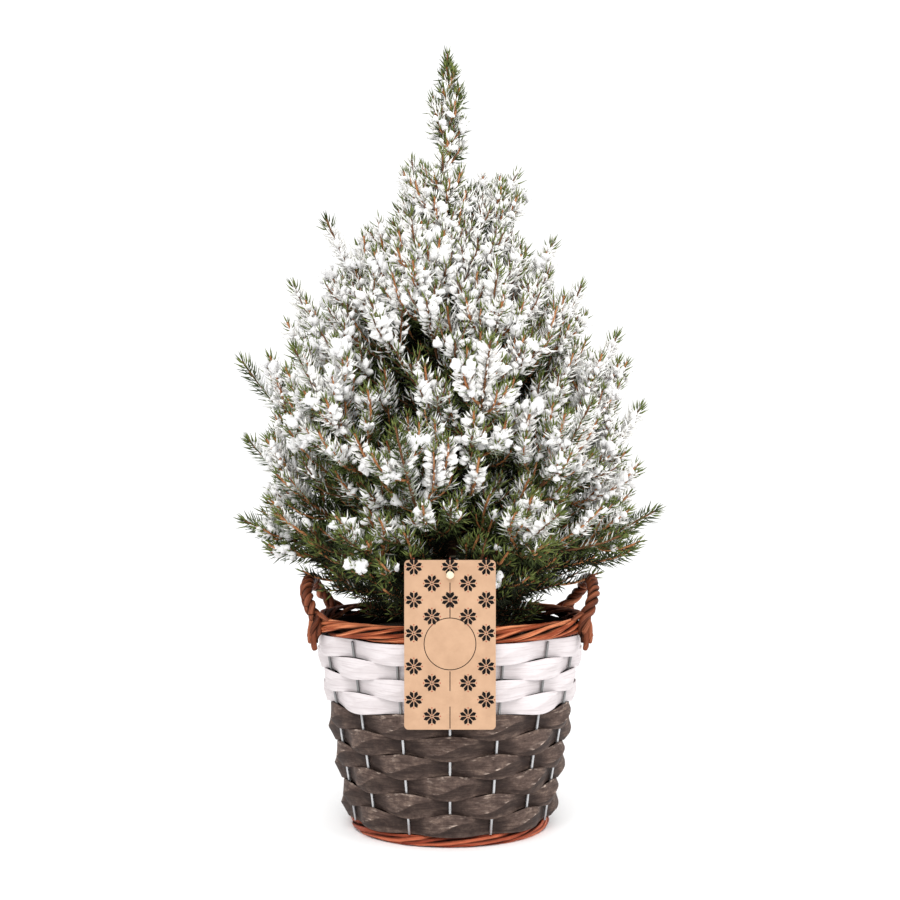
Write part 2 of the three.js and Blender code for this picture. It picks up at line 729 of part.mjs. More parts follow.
// The dense inside of a mass: as wide as its own space allows, with sprays standing out of it.
function massCore(limb) {
  const shell = new Shell();
  const sides = 5;
  const steps = [0.08, 0.36, 0.64, 0.92];
  const share = (step) => mix(limb.bare, 1, step * CORE_SHARE);
  const girth = Math.min(1, limb.whorl.reach / FULL_REACH) ** 0.5;
  const rings = steps.map((step) => {
    const middle = limb.curve.getPoint(share(step));
    const frame = frameAt(limb.curve.getTangent(share(step)));
    const corners = [...Array(sides).keys()].map((i) => {
      const outward = around(frame, (-i * 2 * Math.PI) / sides - step * 3);
      const wide = mix(CORE_RADIUS, CORE_TIP_RADIUS, step) * girth;
      let radius = wide * (0.85 + 0.3 * scatter(limb.key + i, step));
      const stands = (r) => belongs(middle.clone().addScaledVector(outward, r), limb, 2);
      while (radius > SHOOT_RADIUS && !stands(radius)) radius -= 1;
      return middle.clone().addScaledVector(outward, Math.max(radius, SHOOT_RADIUS * 0.9));
    });
    return shell.ring(corners);
  });
  const middleOf = (step) => limb.curve.getPoint(share(step));
  const forward = limb.curve.getTangent(share(0.5));
  shell.close(rings[0], middleOf(0.02), false);
  for (let i = 0; i + 1 < rings.length; i += 1) {
    const middle = middleOf((steps[i] + steps[i + 1]) / 2);
    shell.bridge(rings[i], rings[i + 1], (a, b, c) => {
      const foot = shell.centroid(a, b, c);
      const outward = foot.clone().sub(middle).projectOnPlane(forward).normalize();
      const length = SPRAY_LENGTH * (0.75 + 0.5 * scatter(limb.key + i, a + b));
      if (outward.z < SPRAY_FACING) return null;
      const lean = outward.multiplyScalar(0.75).addScaledVector(forward, 0.5);
      lean.addScaledVector(UP, 0.35).normalize();
      const apex = foot.clone().addScaledVector(lean, length);
      return belongs(apex, limb) ? apex : null;
    });
  }
  shell.close(rings.at(-1), middleOf(1), true);
  return shell.solid();
}

// The side shoots of a mass, each from a place on its axis, as long as its own space allows.
function sideShoots(limb, count, longest) {
  const made = [];
  for (let i = 0; i < count; i += 1) {
    const step = mix(SIDE_SHOOT_FIRST, SIDE_SHOOT_LAST, i / (count - 1));
    const share = mix(limb.bare, 1, step);
    const foot = limb.curve.getPoint(share);
    const frame = frameAt(limb.curve.getTangent(share));
    const angle = radians(i * GOLDEN_ANGLE + 360 * scatter(limb.key, 5));
    const spread = radians(SIDE_SHOOT_SPREAD);
    const lean = around(frame, angle)
      .multiplyScalar(Math.sin(spread))
      .addScaledVector(frame.along, Math.cos(spread));
    let length = longest * (1 - 0.4 * step) * (0.8 + 0.4 * scatter(limb.key, i));
    const at = (d) =>
      foot.clone().addScaledVector(lean, d).addScaledVector(UP, (d * d) / SHOOT_CURL);
    const least = (LEAST_SIDE_SHOOT * longest) / SIDE_SHOOT_LENGTH;
    while (length > least && !belongs(at(length + 6), limb, 4)) length -= 3;
    if (length <= least) continue;
    const points = [0, 0.5, 1].map((p) => at(p * length));
    made.push(shoot(points, SHOOT_RADIUS, 1, limb, limb.key + i * 3));
  }
  return made;
}

// One mass of foliage on its own stem, and the leader, which has no core.
function mass(limb) {
  const gapShare = (GAP + FOLIAGE_FINEST) / limb.curve.getLength();
  const start = limb.whorl.limb ? limb.bare + gapShare : 0;
  const shares = [0, 0.4, 0.68, 0.84, 1];
  const points = shares.map((share) => limb.curve.getPoint(mix(start, 1, share)));
  const parts = [
    shoot(points, SHOOT_RADIUS + 0.5, 2, limb, limb.key),
    massCore(limb),
    ...sideShoots(limb, SIDE_SHOOTS, SIDE_SHOOT_LENGTH),
  ];
  return parts.reduce((whole, part) => whole.add(part));
}

function leaderMass() {
  const points = [0.003, 0.2, 0.42, 0.62, 0.82, 1].map((t) => leader.curve.getPoint(t));
  const parts = [
    shoot(points, SHOOT_RADIUS, 0, leader, leader.key),
    ...sideShoots(leader, SIDE_SHOOTS, SIDE_SHOOT_LENGTH * LEADER_SIDE_SHARE),
  ];
  return parts.reduce((whole, part) => whole.add(part));
}

// The string: a knot in front of the tag, a strand back to the trunk and a loop round it.
function tagString() {
  const knot = new THREE.SphereGeometry(STRING_KNOT_RADIUS, 7, 4);
  const knotY = TAG_BACK_Y - TAG_THICKNESS - GAP - STRING_KNOT_RADIUS * 0.7;
  knot.scale(1, 0.7, 1).translate(0, knotY, TAG_HOLE_Z);
  const trunkSide = trunkMiddle(STRING_TRUNK_Z);
  const loopRadius = trunkRadius(STRING_TRUNK_Z) + GAP + STRING_RADIUS * 2;
  const loop = new THREE.TorusGeometry(loopRadius, STRING_RADIUS, 4, 12);
  loop.translate(trunkSide.x, trunkSide.y, STRING_TRUNK_Z);
  const strand = new THREE.ExtrudeGeometry(
    new THREE.Shape().absarc(0, 0, STRING_RADIUS, 0, 2 * Math.PI),
    {
      curveSegments: 3,
      steps: 4,
      extrudePath: new THREE.QuadraticBezierCurve3(
        new THREE.Vector3(0, knotY, TAG_HOLE_Z),
        new THREE.Vector3(0, mix(knotY, -loopRadius, 0.5), TAG_HOLE_Z + 1),
        new THREE.Vector3(trunkSide.x, trunkSide.y - loopRadius, STRING_TRUNK_Z),
      ),
    },
  );
  return [loop, strand].reduce((whole, g) => whole.add(solidOf(g)), solidOf(knot));
}

// The basket.
const wireCut = wireFrame(GAP * WIRE_CORNER);
const greyBand = weaveBand(0, GREY_ROWS, WALL_FOOT_Z, BAND_SPLIT_Z - GAP, false, true);
const whiteBand = weaveBand(GREY_ROWS, WHITE_ROWS, BAND_SPLIT_Z + GAP, WALL_TOP_Z, true, false);
add("weave_grey", greyBand.subtract(wireCut), GREY_CHIP);
add("weave_white", whiteBand.subtract(wireCut), WHITE_CHIP);
add("wire_frame", wireFrame(0), WIRE);
const footRing = willowRing({
  radius: FOOT_RADIUS - FOOT_WIDTH / 2,
  middleZ: FOOT_HEIGHT / 2 - 0.5,
  width: FOOT_WIDTH,
  height: FOOT_HEIGHT + 1,
  twist: FOOT_TWIST,
  floorZ: 0,
});
add("basket_foot", footRing.add(board()), WILLOW);
add("basket_rim", rim(0), WILLOW);
add("handle_left", handle(-1).subtract(rim(GAP)), WILLOW);
add("handle_right", handle(1).subtract(rim(GAP)), WILLOW);
add("liner", liner(), BLACK_PLASTIC);
add("soil", soil(), SOIL);
add("tag", tag(), KRAFT);
add("tag_string", tagString(), STRING);

// The tree.
const trunkCut = trunk(GAP);
add("trunk", trunk(0), BARK);
add("foliage_leader", leaderMass(), FOLIAGE, FOLIAGE_FINEST);
for (const limb of LIMBS) {
  if (limb === leader) continue;
  const foliage = limb.whorl.limb ? mass(limb) : mass(limb).subtract(trunkCut);
  add(`foliage_${limb.name}`, foliage, FOLIAGE, FOLIAGE_FINEST);
  if (limb.whorl.limb) add(`bough_${limb.name}`, bough(limb).subtract(trunkCut), BARK);
}

export default root;
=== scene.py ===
import bpy
import numpy as np
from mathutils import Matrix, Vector


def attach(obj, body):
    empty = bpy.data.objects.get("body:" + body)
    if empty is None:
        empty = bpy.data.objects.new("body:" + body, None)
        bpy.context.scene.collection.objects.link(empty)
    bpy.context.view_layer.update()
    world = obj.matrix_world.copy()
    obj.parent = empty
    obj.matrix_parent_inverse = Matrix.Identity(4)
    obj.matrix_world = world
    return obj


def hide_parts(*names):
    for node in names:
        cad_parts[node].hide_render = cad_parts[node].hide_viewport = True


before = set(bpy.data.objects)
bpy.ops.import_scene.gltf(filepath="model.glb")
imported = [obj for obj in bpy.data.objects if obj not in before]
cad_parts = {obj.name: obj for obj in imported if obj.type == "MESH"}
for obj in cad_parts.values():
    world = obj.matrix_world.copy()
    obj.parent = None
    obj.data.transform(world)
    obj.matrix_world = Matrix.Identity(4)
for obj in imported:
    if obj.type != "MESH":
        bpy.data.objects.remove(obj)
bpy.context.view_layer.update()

# A potted dwarf Alberta spruce, dusted with snow, in a two-colour chipwood basket.
# Sizes are in millimetres, in the frame of the CAD part, and become metres in the meshes.
MM = 0.001
TAU = 2 * np.pi
UP = np.array([0.0, 0.0, 1.0])

# The basket.
STAKES = 16
COLUMNS = 2 * STAKES
FOOT_RADIUS = 77.5
FOOT_WIDTH = 8.5
FOOT_HEIGHT = 8.8
FOOT_MIDDLE_Z = 4.3
BOARD_RADIUS = 72.4
BOARD_LOW_Z = 0.2
BOARD_THICKNESS = 5
WALL_FOOT_Z = 8.9
WALL_FOOT_RADIUS = 79
WALL_TOP_Z = 151
WALL_TOP_RADIUS = 103
WALL_MEAN_RADIUS = 90
BAND_SPLIT_Z = 98
BAND_GAP = 0.3
GREY_ROWS = 6
WHITE_ROWS = 4
WEAVE_SWING = 3
STRIP_STEPS = 6  # for each column
STRIP_THICKNESS = 1.1
GREY_SWELL = 2.2  # of a strip's edges where it passes over a stake
WHITE_SWELL = 1.5
TUCK = 1.1  # of its edges where it passes behind one
FOOT_EDGE_SWELL = 0.35  # share left at the wall's foot
TOP_EDGE_RISE = 1.3
WHITE_SOFTER = 0.35  # crease of a white strip against that of a grey one
FOLD = 4  # column of a strip's profile that is its crease
EDGE_WEAR = 0.75
WIRE_RADIUS = 1.05
WIRE_INSET = 1.2
RIM_RADIUS = 102.2
RIM_WIDTH = 11.4
RIM_HEIGHT = 12.6
RIM_LOW_Z = 152.6
RIM_RODS = 10
RIM_ROD_RADIUS = 1.6
RIM_TURNS = 4  # of the rods round each other, once round the basket
FOOT_RODS = 6
FOOT_ROD_RADIUS = 1.65
FOOT_TURNS = 3
RING_STEPS = 240
HANDLE_SPAN = 50
HANDLE_BACK_SHIFT = 5
HANDLE_TOP_Z = 190
HANDLE_FOOT_Z = 147
HANDLE_REACH = 110
HANDLE_THICKNESS = 10
HANDLE_SEAT = 2.8
HANDLE_TURN = 32  # radians, from foot to foot
HANDLE_RODS = 3
HANDLE_ROD_RADIUS = 2.35
HANDLE_STEPS = 260
ROD_SIDES = 9
# Each tail: where it leaves the handle, then how far it goes out, aside and down, and its radius.
HANDLE_TAILS = [
    (0.03, 2, 5, 16, 2.7),
    (0.05, 3, -7, 12, 2.4),
    (0.09, 3.5, 1, 19, 2.5),
    (0.17, -13, 17, 15, 2.3),
]
TAIL_STEPS = 16

# The pot inside, the soil and the tag.
LINER_LOW_Z = 9.2
LINER_LOW_RADIUS = 73.8
LINER_TOP_Z = 157
LINER_TOP_RADIUS = 95.6
LINER_THICKNESS = 1.5
LINER_BEND = 2
AXIS_RADIUS = 0.01  # of the hole that a spun profile leaves in its middle
SPUN_SIDES = 96
SOIL_EDGE_Z = 148
SOIL_MOUND = 3
SOIL_GAP = 0.3
SOIL_ROWS = 46
SOIL_SIDES = 160
TAG_WIDTH = 65
TAG_HEIGHT = 120.4
TAG_LOW_Z = 93.4
TAG_TOP_Z = TAG_LOW_Z + TAG_HEIGHT
TAG_FRONT_Y = -110.2
TAG_THICKNESS = 2
TAG_HOLE_Z = 203.4
STAR_ROWS = 10
STAR_COLUMN_STEP = 12.85
STAR_ROW_STEP = 11.8
STAR_MARGIN = 4.7
STAR_DEPTH = 0.12
STAR_PETAL = [(1.1, 0), (2.4, 0.75), (4.6, 1.38), (6.3, 0), (4.6, -1.38), (2.4, -0.75)]
FULL_STAR_ROWS = 4  # that may have a star in the middle too
LINE_HALF_WIDTH = 0.3
LINE_DEPTH = 0.06
LINE_ENDS = [(16, 41.1), (79, 93), (104, 119.6)]  # down from the tag's top
BADGE_Z = TAG_TOP_Z - 59.5
BADGE_RADIUS = 18.4
BADGE_HALF_WIDTH = 0.28
BADGE_SIDES = 72
STRING_RADIUS = 0.8
STRING_SIDES = 8
STRING_GAP = 0.3
STRING_KNOT_RADIUS = 3.3
STRING_KNOT_FORM = np.array([0.85, 0.7, 0.85])
STRING_TRUNK_Z = 209
STRING_OUT = 4  # how far in front of the tag foliage keeps clear of its line

# The trunk and the whorls of limbs, from the top down.
TREE_TOP_Z = 607
TRUNK_CUT_Z = 151.3
TRUNK_TIP_Z = 512
TRUNK_RADIUS = 8
TRUNK_TIP_RADIUS = 1.4
ROOT_FLARE = 4.5
ROOT_FLARE_HEIGHT = 16
TRUNK_LEAN = -3
TRUNK_SWAY = 1.8
WHORL_VALUES = ["name", "count", "root_z", "tip_z", "reach", "right_lift", "right_reach", "steep",
                "stagger", "bare", "bough"]
WHORLS = [dict(zip(WHORL_VALUES, values)) for values in [
    ("crest", 3, 428, 515, 46, -7, 6, 0.62, 30),
    ("upper", 4, 350, 464, 89, -9, -8, 0.66, -20),
    ("high", 4, 292, 421, 113, 0, -10, 0.66, 20),
    ("middle", 6, 229, 372, 147, 10, -16, 0.66, -24, 0.2, 2.6),
    ("low", 6, 190, 313, 154, 13, -4, 0.64, 20, 0.22, 2.9),
    ("skirt", 6, 178, 241, 162, 4, 0, 0.58, 0, 0.24, 3.1),
]]
BOUGH_TIP_RADIUS = 2.0
ROOT_STEP = 7
FRONT_SHORTER = 0.93
TIP_SCATTER = 9
CROWN_FOOT_REACH = 104
OVER_HANDLES_Z = 200
OVER_HANDLES_REACH = 160
CROWN_TOP_REACH = 5
ROOM_OVER_RIM = 1
ROOM_OVER_SOIL = 3
ROOM_ROUND_TAG = 5
ROOM_ROUND_STRING = 1.5
GRIP_X = 92
# By height: how far shoots stay inside the crown's reach, and how much deeper the gaps are.
ROOM_Z = [200, 310, 370, 410, 450]
ROOM = [4, 8, 8, 11, 20]
GAP_DEPTH = [36, 32, 6, 10, 26]
ROOM_AT_TOP = 3

# The foliage.
GOLDEN_ANGLE = np.radians(137.508)
TIP_ROOM = 6  # that a new shoot keeps free past its tip
SIDE_SHOOTS = 17
SIDE_SHOOT_LENGTH = 112
SIDE_SHOOT_SPREAD = 58
LEADER_SHOOT_LENGTH = 29
SHOOT_ELBOW = 0.48  # how far along its length a shoot has turned
TRUNK_SHOOTS = 188
TRUNK_SHOOT_LENGTH = 150
TRUNK_SHOOT_ELBOW = 0.8
TRUNK_SHOOT_RISE = (-4, 50)  # degrees over level, of the lowest and the highest
TRUNK_SHOOT_ROOM = (12, 36)  # inside the crown's reach, low and high on the trunk
TRUNK_SHOOTS_LOW_Z = SOIL_EDGE_Z + 11
TRUNK_SHOOTS_HIGH_Z = TRUNK_TIP_Z - 46
TWIGS = 3
INNER_TWIGS = 5
TWIG_LENGTH = 44
TWIG_SPREAD = 30
TWIG_SHARE = 0.6  # of its shoot's length, at most
FLARE_Z = [180, 245, 300, 350, 420, 480, 600]
FLARE = [2.3, 1.35, 0.68, 0.42, 0.32, 0.3, 0.15]  # outward for each step up, outermost
NEEDLE_LENGTH = 10
NEEDLES_PER_MM = 1.3
INNER_NEEDLES_PER_MM = 0.72
LIMB_NEEDLES = 1.5  # times as many as on a side shoot
FEWEST_NEEDLES = 6
LOW_LIMB_NEEDLE = 1.12  # times the length of the others, and at the leader's tip
TOP_LIMB_NEEDLE = 0.85
TENDER_LENGTH = 8  # of fresh green at a shoot's tip
PIECE_TRIANGLES = 190000

# The snow. A needle's coat is over WHITE_OVER where it is white, and over FROST_OVER where frosted.
WHITE_OVER = 0.03
FROST_OVER = -0.13
SNOW_Z = [175, 215, 250, 320, 380, 560, 585, 603]
SNOW_SHARE = [0.0, 0.2, 0.62, 0.78, 1.0, 0.7, 0.55, 0.05]
SNOW_TRIALS = 6000
SNOW_CLUMPS = 64
SNOW_CLUMPS_APART = 19
LUMPS_IN_A_CLUMP = 9
CLUMP_SPREAD = (4.4, 4.4, 3)
CLUMP_LIMIT = 1.2  # times its spread
SNOW_BITS = 240
SNOW_BITS_APART = 9
FLANK_STEP = 5  # between lumps of snow along one flank of a shoot
FLANK_END_ROOM = 7
SLEEVE_OVER = 0.04  # the coat from which snow lies along a shoot
FINE_SHARE = 4  # one lump in so many along a shoot is a fine one


# Numbers and directions.
def mix(a, b, share):
    return a + (b - a) * share


def smoothstep(low, high, x):
    """From 0 at low to 1 at high, either way round."""
    share = np.clip((x - low) / (high - low), 0, 1)
    return share * share * (3 - 2 * share)


def scatter(key, salt):
    """A steady number from 0 to 1 for each pair of keys, as in the part's source."""
    wave = np.sin(key * 12.9898 + salt * 78.233) * 43758.5453
    return wave - np.floor(wave)


def unit(v):
    return v / np.maximum(np.linalg.norm(v, axis=-1, keepdims=True), 1e-9)


def points_at(x, y, z):
    return np.stack(np.broadcast_arrays(x, y, z), axis=-1)


def polar(radius, angle, z):
    return points_at(radius * np.cos(angle), radius * np.sin(angle), z)


def round_angles(count):
    return np.arange(count) * TAU / count


def from_axis(points):
    """How far points are from the basket's axis."""
    return np.hypot(points[..., 0], points[..., 1])


def outward(points, lift=0.0):
    """The way from the axis to each point. With a lift it tips up near the axis."""
    return unit(points * (1, 1, 0) + (0, 0, lift))


def turned(first, second, angle):
    """A direction turned from the first towards the second by an angle."""
    return first * np.cos(angle)[..., None] + second * np.sin(angle)[..., None]


def frames(along):
    """Level across each direction, and over it, as in the part's source."""
    across = np.cross(along, UP)
    across[np.linalg.norm(across, axis=-1) < 1e-2] = (1, 0, 0)
    across = unit(across)
    return across, np.cross(across, along)


def noise(points, size, seed):
    """Smooth noise from -1 to 1, with swells of about this size in millimetres."""
    scaled = np.asarray(points) / size
    cell = np.floor(scaled)
    part = scaled - cell
    part = part * part * (3 - 2 * part)
    total = np.zeros(scaled.shape[:-1])
    for corner in np.ndindex(2, 2, 2):
        step = np.array(corner)
        key = (cell + step) @ np.array([1.0, 57.0, 113.0]) + 31.7 * seed
        weight = np.prod(np.where(step, part, 1 - part), axis=-1)
        total += weight * scatter(key, 3)
    return 2 * total - 1


def numbered(count):
    """For count[i] items on each i: which i each is on, and its number there."""
    index = np.repeat(np.arange(len(count)), count)
    return index, np.arange(len(index)) - np.repeat(np.cumsum(count) - count, count)


def only(places, kept):
    return {key: value[kept] for key, value in places.items()}


def gathered(batches):
    return {key: np.concatenate([batch[key] for batch in batches]) for key in batches[0]}


# Meshes.
def grid_faces(rows, columns, up=False):
    """Quads over a grid of points, closed around its columns and, if asked, up its rows."""
    r = np.arange(rows if up else rows - 1)[:, None]
    c = np.arange(columns)[None, :]
    above = ((r + 1) % rows) * columns
    beside = (c + 1) % columns
    faces = np.stack([r * columns + c, r * columns + beside, above + beside, above + c], axis=-1)
    return faces.reshape(-1, 4)


def fan(first, second, middle):
    """Triangles from pairs of points to one in the middle, each with its last corner twice."""
    middle = np.full(len(first), middle)
    return np.stack([first, second, middle, middle], axis=1)


def copies(faces, count, step):
    """The same faces for each of count shapes that have step points each."""
    return (faces[None] + np.arange(count)[:, None, None] * step).reshape(-1, faces.shape[1])


def joined(shapes):
    """One (points, faces, flow, wear and painted shade) from several. Triangles repeat their last corner.
    """
    parts, base = [], 0
    for shape in shapes:
        points, faces = shape[0].reshape(-1, 3), shape[1]
        flow = shape[2].reshape(-1, 3) if len(shape) > 2 else np.zeros_like(points)
        wear = shape[3].reshape(-1) if len(shape) > 3 else np.zeros(len(points))
        if faces.shape[1] == 3:
            faces = np.concatenate([faces, faces[:, 2:]], axis=1)
        parts.append((points, faces + base, flow, wear))
        base += len(points)
    return [np.concatenate(part) for part in zip(*parts)]


def add_object(name, data):
    made = bpy.data.objects.new(name, data)
    bpy.context.scene.collection.objects.link(made)
    return made


def make_piece(name, shapes, finish, nodes, smooth=True):
    """A mesh object that rides on the plant and stands for these CAD nodes."""
    points, faces, flow, wear = joined(shapes)
    keep = np.ones(faces.shape, bool)
    keep[:, 3] = faces[:, 2] != faces[:, 3]
    mesh = bpy.data.meshes.new(name)
    mesh.vertices.add(len(points))
    mesh.vertices.foreach_set("co", (points * MM).astype(np.float32).ravel())
    mesh.loops.add(int(keep.sum()))
    mesh.loops.foreach_set("vertex_index", faces[keep].astype(np.int32))
    mesh.polygons.add(len(faces))
    starts = np.concatenate([[0], np.cumsum(keep.sum(axis=1))[:-1]])
    mesh.polygons.foreach_set("loop_start", starts.astype(np.int32))
    mesh.polygons.foreach_set("use_smooth", np.full(len(faces), smooth))
    if flow.any():
        attribute = mesh.attributes.new("flow", "FLOAT_VECTOR", "POINT")
        attribute.data.foreach_set("vector", flow.astype(np.float32).ravel())
    # Positive values are real wear, negative ones painted shade.
    if wear.any():
        attribute = mesh.attributes.new("wear", "FLOAT", "POINT")
        attribute.data.foreach_set("value", wear.astype(np.float32))
    mesh.update(calc_edges=True)
    mesh.materials.append(finish)
    piece = add_object(name, mesh)
    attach(piece, "root")
    if nodes:
        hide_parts(*nodes)


def tube(path, radius, sides, relief=(), closed=False):
    """A tube round a path of points, with flow as (along, around, 0) for its grain.

    The relief is in layers of noise: height, size, seed and how much it is drawn out upward.
    """
    count = len(path)
    radius = np.broadcast_to(radius, count)
    if closed:
        along = unit(np.roll(path, -1, 0) - np.roll(path, 1, 0))
    else:
        along = unit(np.gradient(path, axis=0))
    across, over = frames(along)
    angle = round_angles(sides)
    out = turned(across[:, None], -over[:, None], angle)
    points = path[:, None] + out * radius[:, None, None]
    lift = sum(height * noise(points * (1, 1, drawn), size, seed)
               for height, size, seed, drawn in relief)
    points = (points + out * np.asarray(lift)[..., None]).reshape(-1, 3)
    run = np.concatenate([[0], np.cumsum(np.linalg.norm(np.diff(path, axis=0), axis=1))])
    flow = points_at(run[:, None], radius[:, None] * angle, 0).reshape(-1, 3)
    faces = grid_faces(count, sides, up=closed)
    if closed:
        return points, faces, flow
    low_end = path[0] - along[0] * radius[0] * 0.3
    high_end = path[-1] + along[-1] * radius[-1] * 0.5
    ring = np.arange(sides)
    after = (ring + 1) % sides
    top = (count - 1) * sides
    caps = [fan(after, ring, len(points)), fan(ring + top, after + top, len(points) + 1)]
    points = np.concatenate([points, [low_end, high_end]])
    flow = np.concatenate([flow, [[0, 0, 0], [run[-1], 0, 0]]])
    return points, np.concatenate([faces, *caps]), flow


def spun(profile, sides=SPUN_SIDES):
    """A profile of (radius, z) points spun about the basket's axis."""
    profile = np.asarray(profile, float)
    points = polar(profile[:, :1], round_angles(sides), profile[:, 1:])
    return points.reshape(-1, 3), grid_faces(len(profile), sides)


# Finishes.
def grey(value):
    return (value, value, value)


class Finish:
    """A material whose node tree is written a node at a time, from outputs, numbers and colours."""

    def __init__(self, name, specular):
        self.material = bpy.data.materials.new(name)
        self.material.use_nodes = True
        self.tree = self.material.node_tree
        self.shader = self.tree.nodes["Principled BSDF"]
        self.shader.inputs["Specular IOR Level"].default_value = specular

    def feed(self, socket, value):
        if isinstance(value, bpy.types.NodeSocket):
            self.tree.links.new(value, socket)
        else:
            socket.default_value = (*value, 1) if socket.type == "RGBA" else value

    def node(self, kind, inputs=(), **settings):
        made = self.tree.nodes.new("ShaderNode" + kind)
        for key, value in settings.items():
            setattr(made, key, value)
        for key, value in dict(inputs).items():
            self.feed(made.inputs[key], value)
        return made

    def scaled(self, source, scale):
        return self.node("Mapping", {"Vector": source, "Scale": scale}).outputs["Vector"]

    def place(self, upward=1):
        """Coordinates in millimetres over the object."""
        return self.scaled(self.node("TexCoord").outputs["Object"], (1 / MM, 1 / MM, upward / MM))

    def flow(self, along, around=1):
        """Coordinates in millimetres along the piece's own grain, and its tone."""
        source = self.node("Attribute", attribute_name="flow").outputs["Vector"]
        return self.scaled(source, (along, around, 1))

    def math(self, operation, first, second, clamp=False):
        return self.node("Math", {0: first, 1: second}, operation=operation, use_clamp=clamp).outputs[0]

    def wear(self, scale):
        """The piece's wear and painted shade times a scale, from 0 to 1: a negative scale gives its
        painted shade.
        """
        source = self.node("Attribute", attribute_name="wear").outputs["Fac"]
        return self.math("MULTIPLY", source, scale, clamp=True)

    def noise(self, place, size, detail, roughness=0.6):
        inputs = {"Vector": place, "Scale": 1 / size, "Detail": detail, "Roughness": roughness}
        return self.node("TexNoise", inputs).outputs["Fac"]

    def ramp(self, value, stops):
        made = self.node("ValToRGB", {"Fac": value})
        elements = made.color_ramp.elements
        while len(elements) < len(stops):
            elements.new(0.5)
        for element, (position, colour) in zip(elements, stops):
            element.position = position
            element.color = (*colour, 1)
        return made.outputs["Color"]

    def blend(self, share, first, second):
        return self.node("Mix", {0: share, 6: first, 7: second}, data_type="RGBA").outputs[2]

    def stretched(self, value, to_low, to_high, low=0, high=1):
        ends = {"From Min": low, "From Max": high, "To Min": to_low, "To Max": to_high}
        return self.node("MapRange", {"Value": value, **ends}).outputs["Result"]

    def surface(self, colour, roughness, relief=None, height=0):
        """Ends the tree. The relief's height is in millimetres."""
        self.feed(self.shader.inputs["Base Color"], colour)
        self.feed(self.shader.inputs["Roughness"], roughness)
        if relief:
            bump = self.node("Bump", {"Height": relief, "Distance": height * MM, "Strength": 1})
            self.feed(self.shader.inputs["Normal"], bump.outputs["Normal"])
        return self.material


def chip_finish(name, stops, chip_shade_colour, streaks, worn, worn_span, height):
    """Split wood: mottled, with faint long grain, wear on edges and painted shade where it goes behind a
    stake and below its crease.
    """
    f = Finish(name, 0.15)
    patches = f.noise(f.flow(0.5), 5, 8, 0.75)
    streak = f.ramp(f.noise(f.flow(0.05), 1.2, 6), [(0.5, grey(0)), (0.68, grey(1))])
    colour = f.blend(streak, f.ramp(patches, stops), streaks)
    # Painted shade where the piece's values are negative: behind the stakes and below the creases.
    colour = f.blend(f.wear(-0.75), colour, chip_shade_colour)
    scratches = f.ramp(f.noise(f.flow(0.25), 2.2, 6), [(0.54, grey(0)), (0.54 + worn_span, grey(1))])
    colour = f.blend(f.math("MULTIPLY", f.wear(1), scratches), colour, worn)
    return f.surface(colour, f.stretched(patches, 0.5, 0.85), f.noise(f.flow(0.08), 0.8, 5), height)


def willow_finish(name, stops, crevice_shade_colour, sheen):
    """A peeled and stained rod: streaks along it, the brightest partly painted highlight, a tone of its
    own, and painted shade in its dull crevices.
    """
    f = Finish(name, 0.1)
    along = f.noise(f.flow(0.06), 1.6, 5)
    tone = f.math("ADD", along, f.noise(f.flow(0.004, 0), 2, 2))
    painted_shade_mask = f.wear(-0.95)
    # Painted shade in the crevices; the ramp's brightest stop is partly painted highlight.
    colour = f.blend(painted_shade_mask, f.ramp(f.math("MULTIPLY", tone, 0.5), stops), crevice_shade_colour)
    dull = f.blend(painted_shade_mask, f.ramp(along, [(0, grey(0)), (1, grey(0.35))]), grey(1))
    return f.surface(colour, f.stretched(dull, sheen, 1), along, 0.35)


def needle_finish(kind, deep, bright, roughness):
    """Needles of two near shades. The frosted kind is white on the faces that look up."""
    f = Finish(f"needle_{kind}", 0.15)
    swells = f.noise(f.place(), 11, 2)
    colour = f.ramp(swells, [(0.32, deep), (0.68, bright)])
    if kind == "frosted":
        normal = f.node("SeparateXYZ", {0: f.node("NewGeometry").outputs["Normal"]})
        upward = f.stretched(normal.outputs["Z"], 0, 1, 0.05, 0.45)
        grains = f.ramp(f.noise(f.place(), 1.6, 3), [(0.3, grey(0)), (0.5, grey(1))])
        colour = f.blend(f.math("MULTIPLY", upward, grains), colour, grey(0.8))
    return f.surface(colour, f.stretched(swells, roughness, roughness + 0.2))


def plain_finish(name, stops, size, roughness, fine_size, height, upward=1, specular=0.2, metal=0,
                 behind=None):
    """A mottled surface with a fine relief, if asked of another colour where the piece's shade values are
    negative: painted shade.
    """
    f = Finish(name, specular)
    f.shader.inputs["Metallic"].default_value = metal
    colour = f.ramp(f.noise(f.place(upward), size, 5), stops)
    if behind:
        # Painted shade where the piece's values are negative.
        colour = f.blend(f.wear(-1), colour, behind)
    fine = f.noise(f.place(upward), fine_size, 4)
    return f.surface(colour, f.stretched(fine, roughness, min(1, roughness + 0.2)), fine, height)


# In each chip, the colour after its stops is its painted shade.
WHITE_CHIP = chip_finish(
    "white_chip", [(0.3, (0.61, 0.56, 0.565)), (0.7, (0.69, 0.64, 0.645))], (0.46, 0.41, 0.41),
    (0.52, 0.465, 0.47), (0.42, 0.37, 0.36), 0.4, 0.07)
GREY_CHIP = chip_finish(
    "grey_chip",
    [(0.34, (0.036, 0.022, 0.018)), (0.52, (0.098, 0.066, 0.054)), (0.68, (0.21, 0.148, 0.116))],
    (0.014, 0.008, 0.007), (0.045, 0.028, 0.023), (0.75, 0.6, 0.5), 0.16, 0.3)
